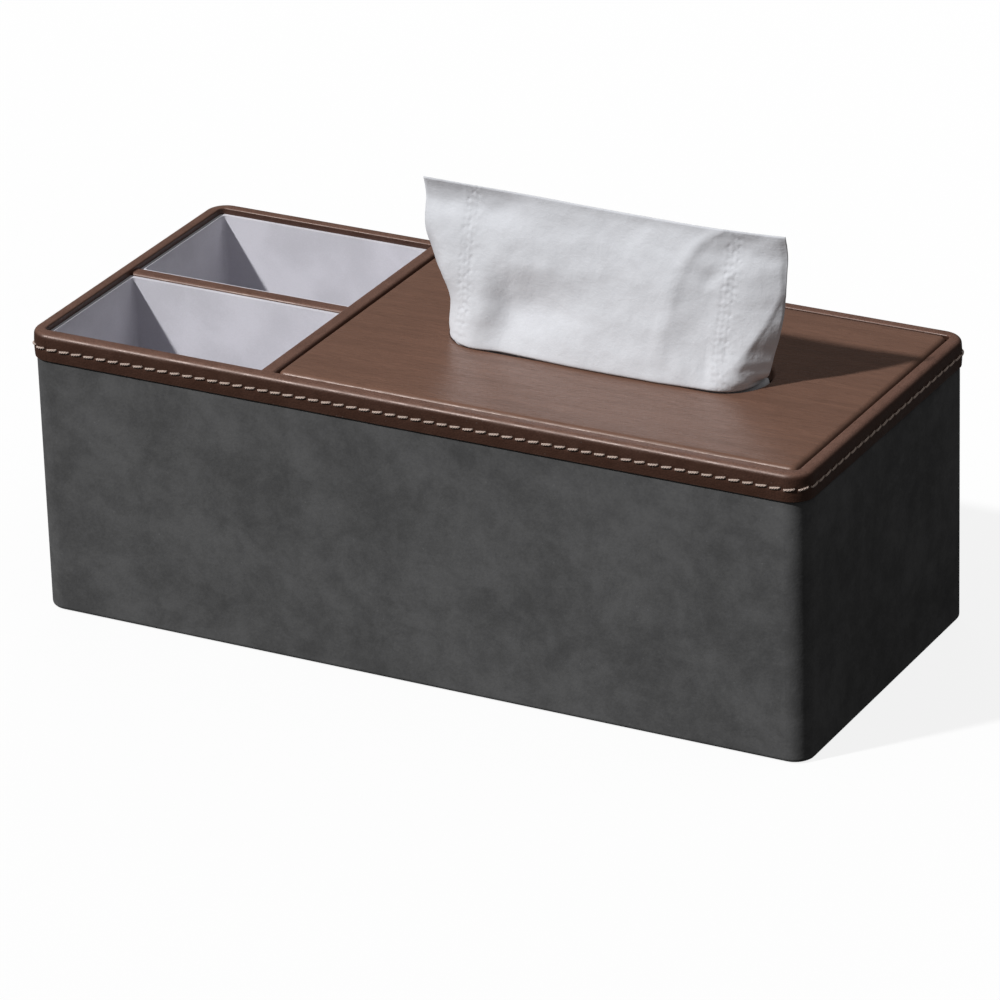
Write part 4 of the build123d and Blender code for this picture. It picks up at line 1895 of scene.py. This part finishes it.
@dataclass
class Lid:
    """The lift-off lid with its slot: board, wood-grain leather and lining underneath."""

    centre_x: float = 43.25
    half_length: float = 91.95
    half_width: float = 57.2
    corner: float = 2.4
    corner_steps: int = 5
    bottom: float = 95.3
    top: float = 100.2
    leather: float = 0.75
    edge_radius: float = 2.0
    edge_steps: int = 8
    top_steps: int = 26
    slot_left: float = -42.3
    slot_right: float = 41.0
    slot_radius: float = 14.55
    slot_edge_radius: float = 1.3
    spacing: float = 1.3
    waves: tuple[Wave, ...] = (Wave(0.07, 27.0, 19.0, 6.2), Wave(0.02, 12.0, 9.0, 1.2))
    finishes: tuple[tuple[Slot, str], ...] = (
        (Slot.FIBREBOARD, "lid_board"),
        (Slot.BAY_LINING, "lid_backing"),
    )

    def outline(self) -> list[tuple[Vector, Vector]]:
        """Walk round the lid.

        Returns:
            The outline's points at the corner centres and along the sides, with outward normals.
        """
        half_x, half_y = self.half_length - self.corner, self.half_width - self.corner
        corners = [Vector((x * half_x, y * half_y)) for x, y in CORNERS]
        result = []
        for side in range(4):
            start, end = corners[side], corners[(side + 1) % 4]
            facing = math.radians(90 * side)
            for step in range(1, self.corner_steps):
                turn = facing - math.pi / 2 * (1 - step / self.corner_steps)
                result.append((start, Vector((math.cos(turn), math.sin(turn)))))
            count = round((end - start).length / self.spacing)
            normal = Vector((math.cos(facing), math.sin(facing)))
            result += [(start.lerp(end, step / count), normal) for step in range(count + 1)]
        return result

    def profile(self) -> list[tuple[float, float, float]]:
        """Draw the leather's closed section from the lid's outer side to the slot.

        Returns:
            Rows of (share of the way in, distance kept from that end's face, height).
        """
        section = [(0.0, 0.0, self.bottom + rise) for rise in (0.0, 1.0, 2.2)]
        for step in range(self.edge_steps + 1):
            turn = math.pi / 2 * step / self.edge_steps
            drop = self.edge_radius * (1 - math.sin(turn))
            section.append((0.0, self.edge_radius * (1 - math.cos(turn)), self.top - drop))
        section += [(step / self.top_steps, 0.0, self.top) for step in range(1, self.top_steps)]
        for step in range(self.edge_steps + 1):
            turn = math.pi / 2 * (1 - step / self.edge_steps)
            drop = self.slot_edge_radius * (1 - math.sin(turn))
            section.append((1.0, self.slot_edge_radius * (1 - math.cos(turn)), self.top - drop))
        section += [(1.0, 0.0, self.bottom + rise) for rise in (2.2, 1.0, 0.0)]
        under = self.top - self.leather
        section += [(1.0, self.leather, self.bottom), (1.0, self.leather, under)]
        section += [(0.5, 0.0, under), (0.0, self.leather, under), (0.0, self.leather, self.bottom)]
        return section

    def unevenness(self, place: Vector, height: float) -> float:
        """Let the leather's top lie a little uneven.

        Args:
            place: the place, from the lid's middle.
            height: the height, which keeps the sides straight.

        Returns:
            How far the leather rises there, in millimetres.
        """
        rise = sum(wave.at(place.x, place.y) for wave in self.waves)
        return rise * smooth(height, self.top - self.edge_radius, self.top)

    def build(self, workshop: Workshop) -> None:
        """Dress the lid's CAD nodes, then draw the leather over the board and into the slot.

        Args:
            workshop: dresses and makes the pieces.
        """
        for slot, node in self.finishes:
            workshop.dress(node, slot)
        section = self.profile()
        points = []
        for centre, normal in self.outline():
            outer = centre + normal * self.corner
            spine = Vector((min(max(outer.x, self.slot_left), self.slot_right), 0.0))
            away = (outer - spine).normalized()
            if self.slot_left < outer.x < self.slot_right:
                away = Vector((0.0, math.copysign(1.0, outer.y)))
            inner = spine + away * self.slot_radius
            first = outer - normal * self.edge_radius
            last = inner + away * self.slot_edge_radius
            for share, kept, height in section:
                if share == 0.0:
                    place = outer - normal * kept
                elif share == 1.0:
                    place = inner + away * kept
                else:
                    place = first.lerp(last, share)
                height += self.unevenness(place, height)
                points.append((self.centre_x + place.x, place.y, height))
        workshop.piece(
            "lid_leather",
            points,
            loop_faces(len(points) // len(section), len(section), True),
            Slot.WOOD_GRAIN,
            Body.LID,
            ("lid_cover",),
        )


# ---------------------------------------------------------------- studio


@dataclass(frozen=True)
class SoftLamp:
    """A soft fill lamp. Places are in metres and powers in watts."""

    name: str
    power: float
    size: float
    place: Point
    heading: Point


@dataclass
class Studio:
    """Floor, lights, surroundings and camera. Lengths are in metres here."""

    camera_place: Point = (0.89984, -1.64617, 0.89993)
    azimuth: float = 28.6589
    elevation: float = 24.6242
    roll: float = -1.7821
    lens: float = 226.23
    sensor: float = 36.0
    view_end: float = 20.0
    key_place: Point = (-0.9, -1.1, 1.4)
    key_heading: Point = (0.45, 0.55, -0.70)
    key_power: float = 3.4
    key_softness: float = 3.0
    fills: tuple[SoftLamp, ...] = (
        SoftLamp("back_fill", 5.0, 1.2, (-0.9, 1.6, 0.7), (0.5, -0.85, -0.3)),
        SoftLamp("top_fill", 2.2, 1.4, (0.8, 0.3, 1.3), (-0.5, -0.2, -0.8)),
    )
    ambient: float = 0.132
    mirrored: float = 0.05
    floor_size: float = 8.0
    floor_white: float = 0.86
    floor_shade: float = 0.94
    floor_bounce: float = 0.06

    def build(self) -> None:
        """Set up everything round the object."""
        self.floor()
        self.lights()
        self.surroundings()
        self.camera()
        bpy.context.scene.view_settings.view_transform = "Standard"

    def floor(self) -> None:
        """Lay a floor that looks white, keeps the shadow, and throws back only a little light."""
        plane = bmesh.new()
        bmesh.ops.create_grid(plane, x_segments=4, y_segments=4, size=self.floor_size / 2)
        mesh = bpy.data.meshes.new("floor")
        plane.to_mesh(mesh)
        plane.free()
        ground = bpy.data.objects.new("floor", mesh)
        bpy.context.scene.collection.objects.link(ground)
        paint = bpy.data.materials.new("pale_floor")
        paint.use_nodes = True
        paint.node_tree.nodes.clear()
        wiring = Wiring(paint.node_tree)
        bright = wiring.node("ShaderNodeEmission")
        white = wiring.node("ShaderNodeBsdfDiffuse")
        white.inputs["Color"].default_value = (*[self.floor_shade] * 3, 1)
        dull = wiring.node("ShaderNodeBsdfDiffuse")
        dull.inputs["Color"].default_value = (*[self.floor_bounce] * 3, 1)
        shown = wiring.mix(self.floor_white, white.outputs[0], bright.outputs[0])
        chosen = wiring.mix(wiring.background_rays(), dull.outputs[0], shown)
        wiring.end("ShaderNodeOutputMaterial", chosen)
        mesh.materials.append(paint)

    def lights(self) -> None:
        """Add the key light from the front left, and soft fills from behind and above."""
        key = bpy.data.lights.new("key", "SUN")
        key.energy = self.key_power
        key.angle = math.radians(self.key_softness)
        self.hang(key, self.key_place, self.key_heading)
        for fill in self.fills:
            lamp = bpy.data.lights.new(fill.name, "AREA")
            lamp.energy = fill.power
            lamp.size = fill.size
            self.hang(lamp, fill.place, fill.heading, False)

    @staticmethod
    def hang(lamp: bpy.types.Light, place: Point, heading: Point, mirrored: bool = True) -> None:
        """Put a lamp in the scene.

        Args:
            lamp: the lamp.
            place: where it hangs.
            heading: the direction that it shines in.
            mirrored: whether glossy surfaces mirror it.
        """
        holder = bpy.data.objects.new(lamp.name, lamp)
        holder.visible_glossy = mirrored
        holder.location = place
        holder.rotation_euler = Vector(heading).to_track_quat("-Z", "Y").to_euler()
        bpy.context.scene.collection.objects.link(holder)

    def surroundings(self) -> None:
        """Make the surroundings white to look at and dim as a source of light.

        The leather mirrors only a little of that white, because its real surroundings were dark.
        """
        world = bpy.data.worlds.new("surroundings")
        world.use_nodes = True
        world.node_tree.nodes.clear()
        wiring = Wiring(world.node_tree)
        glossy = wiring.node("ShaderNodeLightPath").outputs["Is Glossy Ray"]
        dim = wiring.node("ShaderNodeBackground")
        strength = wiring.spread(glossy, 0.0, 1.0, self.ambient, self.mirrored)
        wiring.feed(dim.inputs["Strength"], strength)
        white = wiring.node("ShaderNodeBackground")
        for background in (dim, white):
            background.inputs["Color"].default_value = (1, 1, 1, 1)
        chosen = wiring.mix(wiring.background_rays(), dim.outputs[0], white.outputs[0])
        wiring.end("ShaderNodeOutputWorld", chosen)
        bpy.context.scene.world = world

    def camera(self) -> None:
        """Place the camera at the photograph's viewing angle."""
        turn, rise, roll = (math.radians(v) for v in (self.azimuth, self.elevation, self.roll))
        back = Vector(
            (math.sin(turn) * math.cos(rise), -math.cos(turn) * math.cos(rise), math.sin(rise))
        )
        right = (-back).cross(Vector((0, 0, 1))).normalized()
        up = right.cross(-back)
        tilted_right = right * math.cos(roll) + up * math.sin(roll)
        tilted_up = -right * math.sin(roll) + up * math.cos(roll)
        lens = bpy.data.cameras.new("camera")
        lens.sensor_width = self.sensor
        lens.lens = self.lens
        lens.clip_end = self.view_end
        holder = bpy.data.objects.new("camera", lens)
        rows = Matrix((tilted_right, tilted_up, back)).transposed().to_4x4()
        holder.matrix_world = Matrix.Translation(self.camera_place) @ rows
        bpy.context.scene.collection.objects.link(holder)
        bpy.context.scene.camera = holder


def main() -> None:
    """Build the studio, then the box piece by piece."""
    logging.basicConfig(level=logging.INFO, format="%(name)s: %(message)s")
    Studio().build()
    workshop = Workshop()
    Carcass().build(workshop)
    Lid().build(workshop)
    TissueStack().build(workshop)
    TopTissue().build(workshop)


if __name__ == "__main__":
    main()
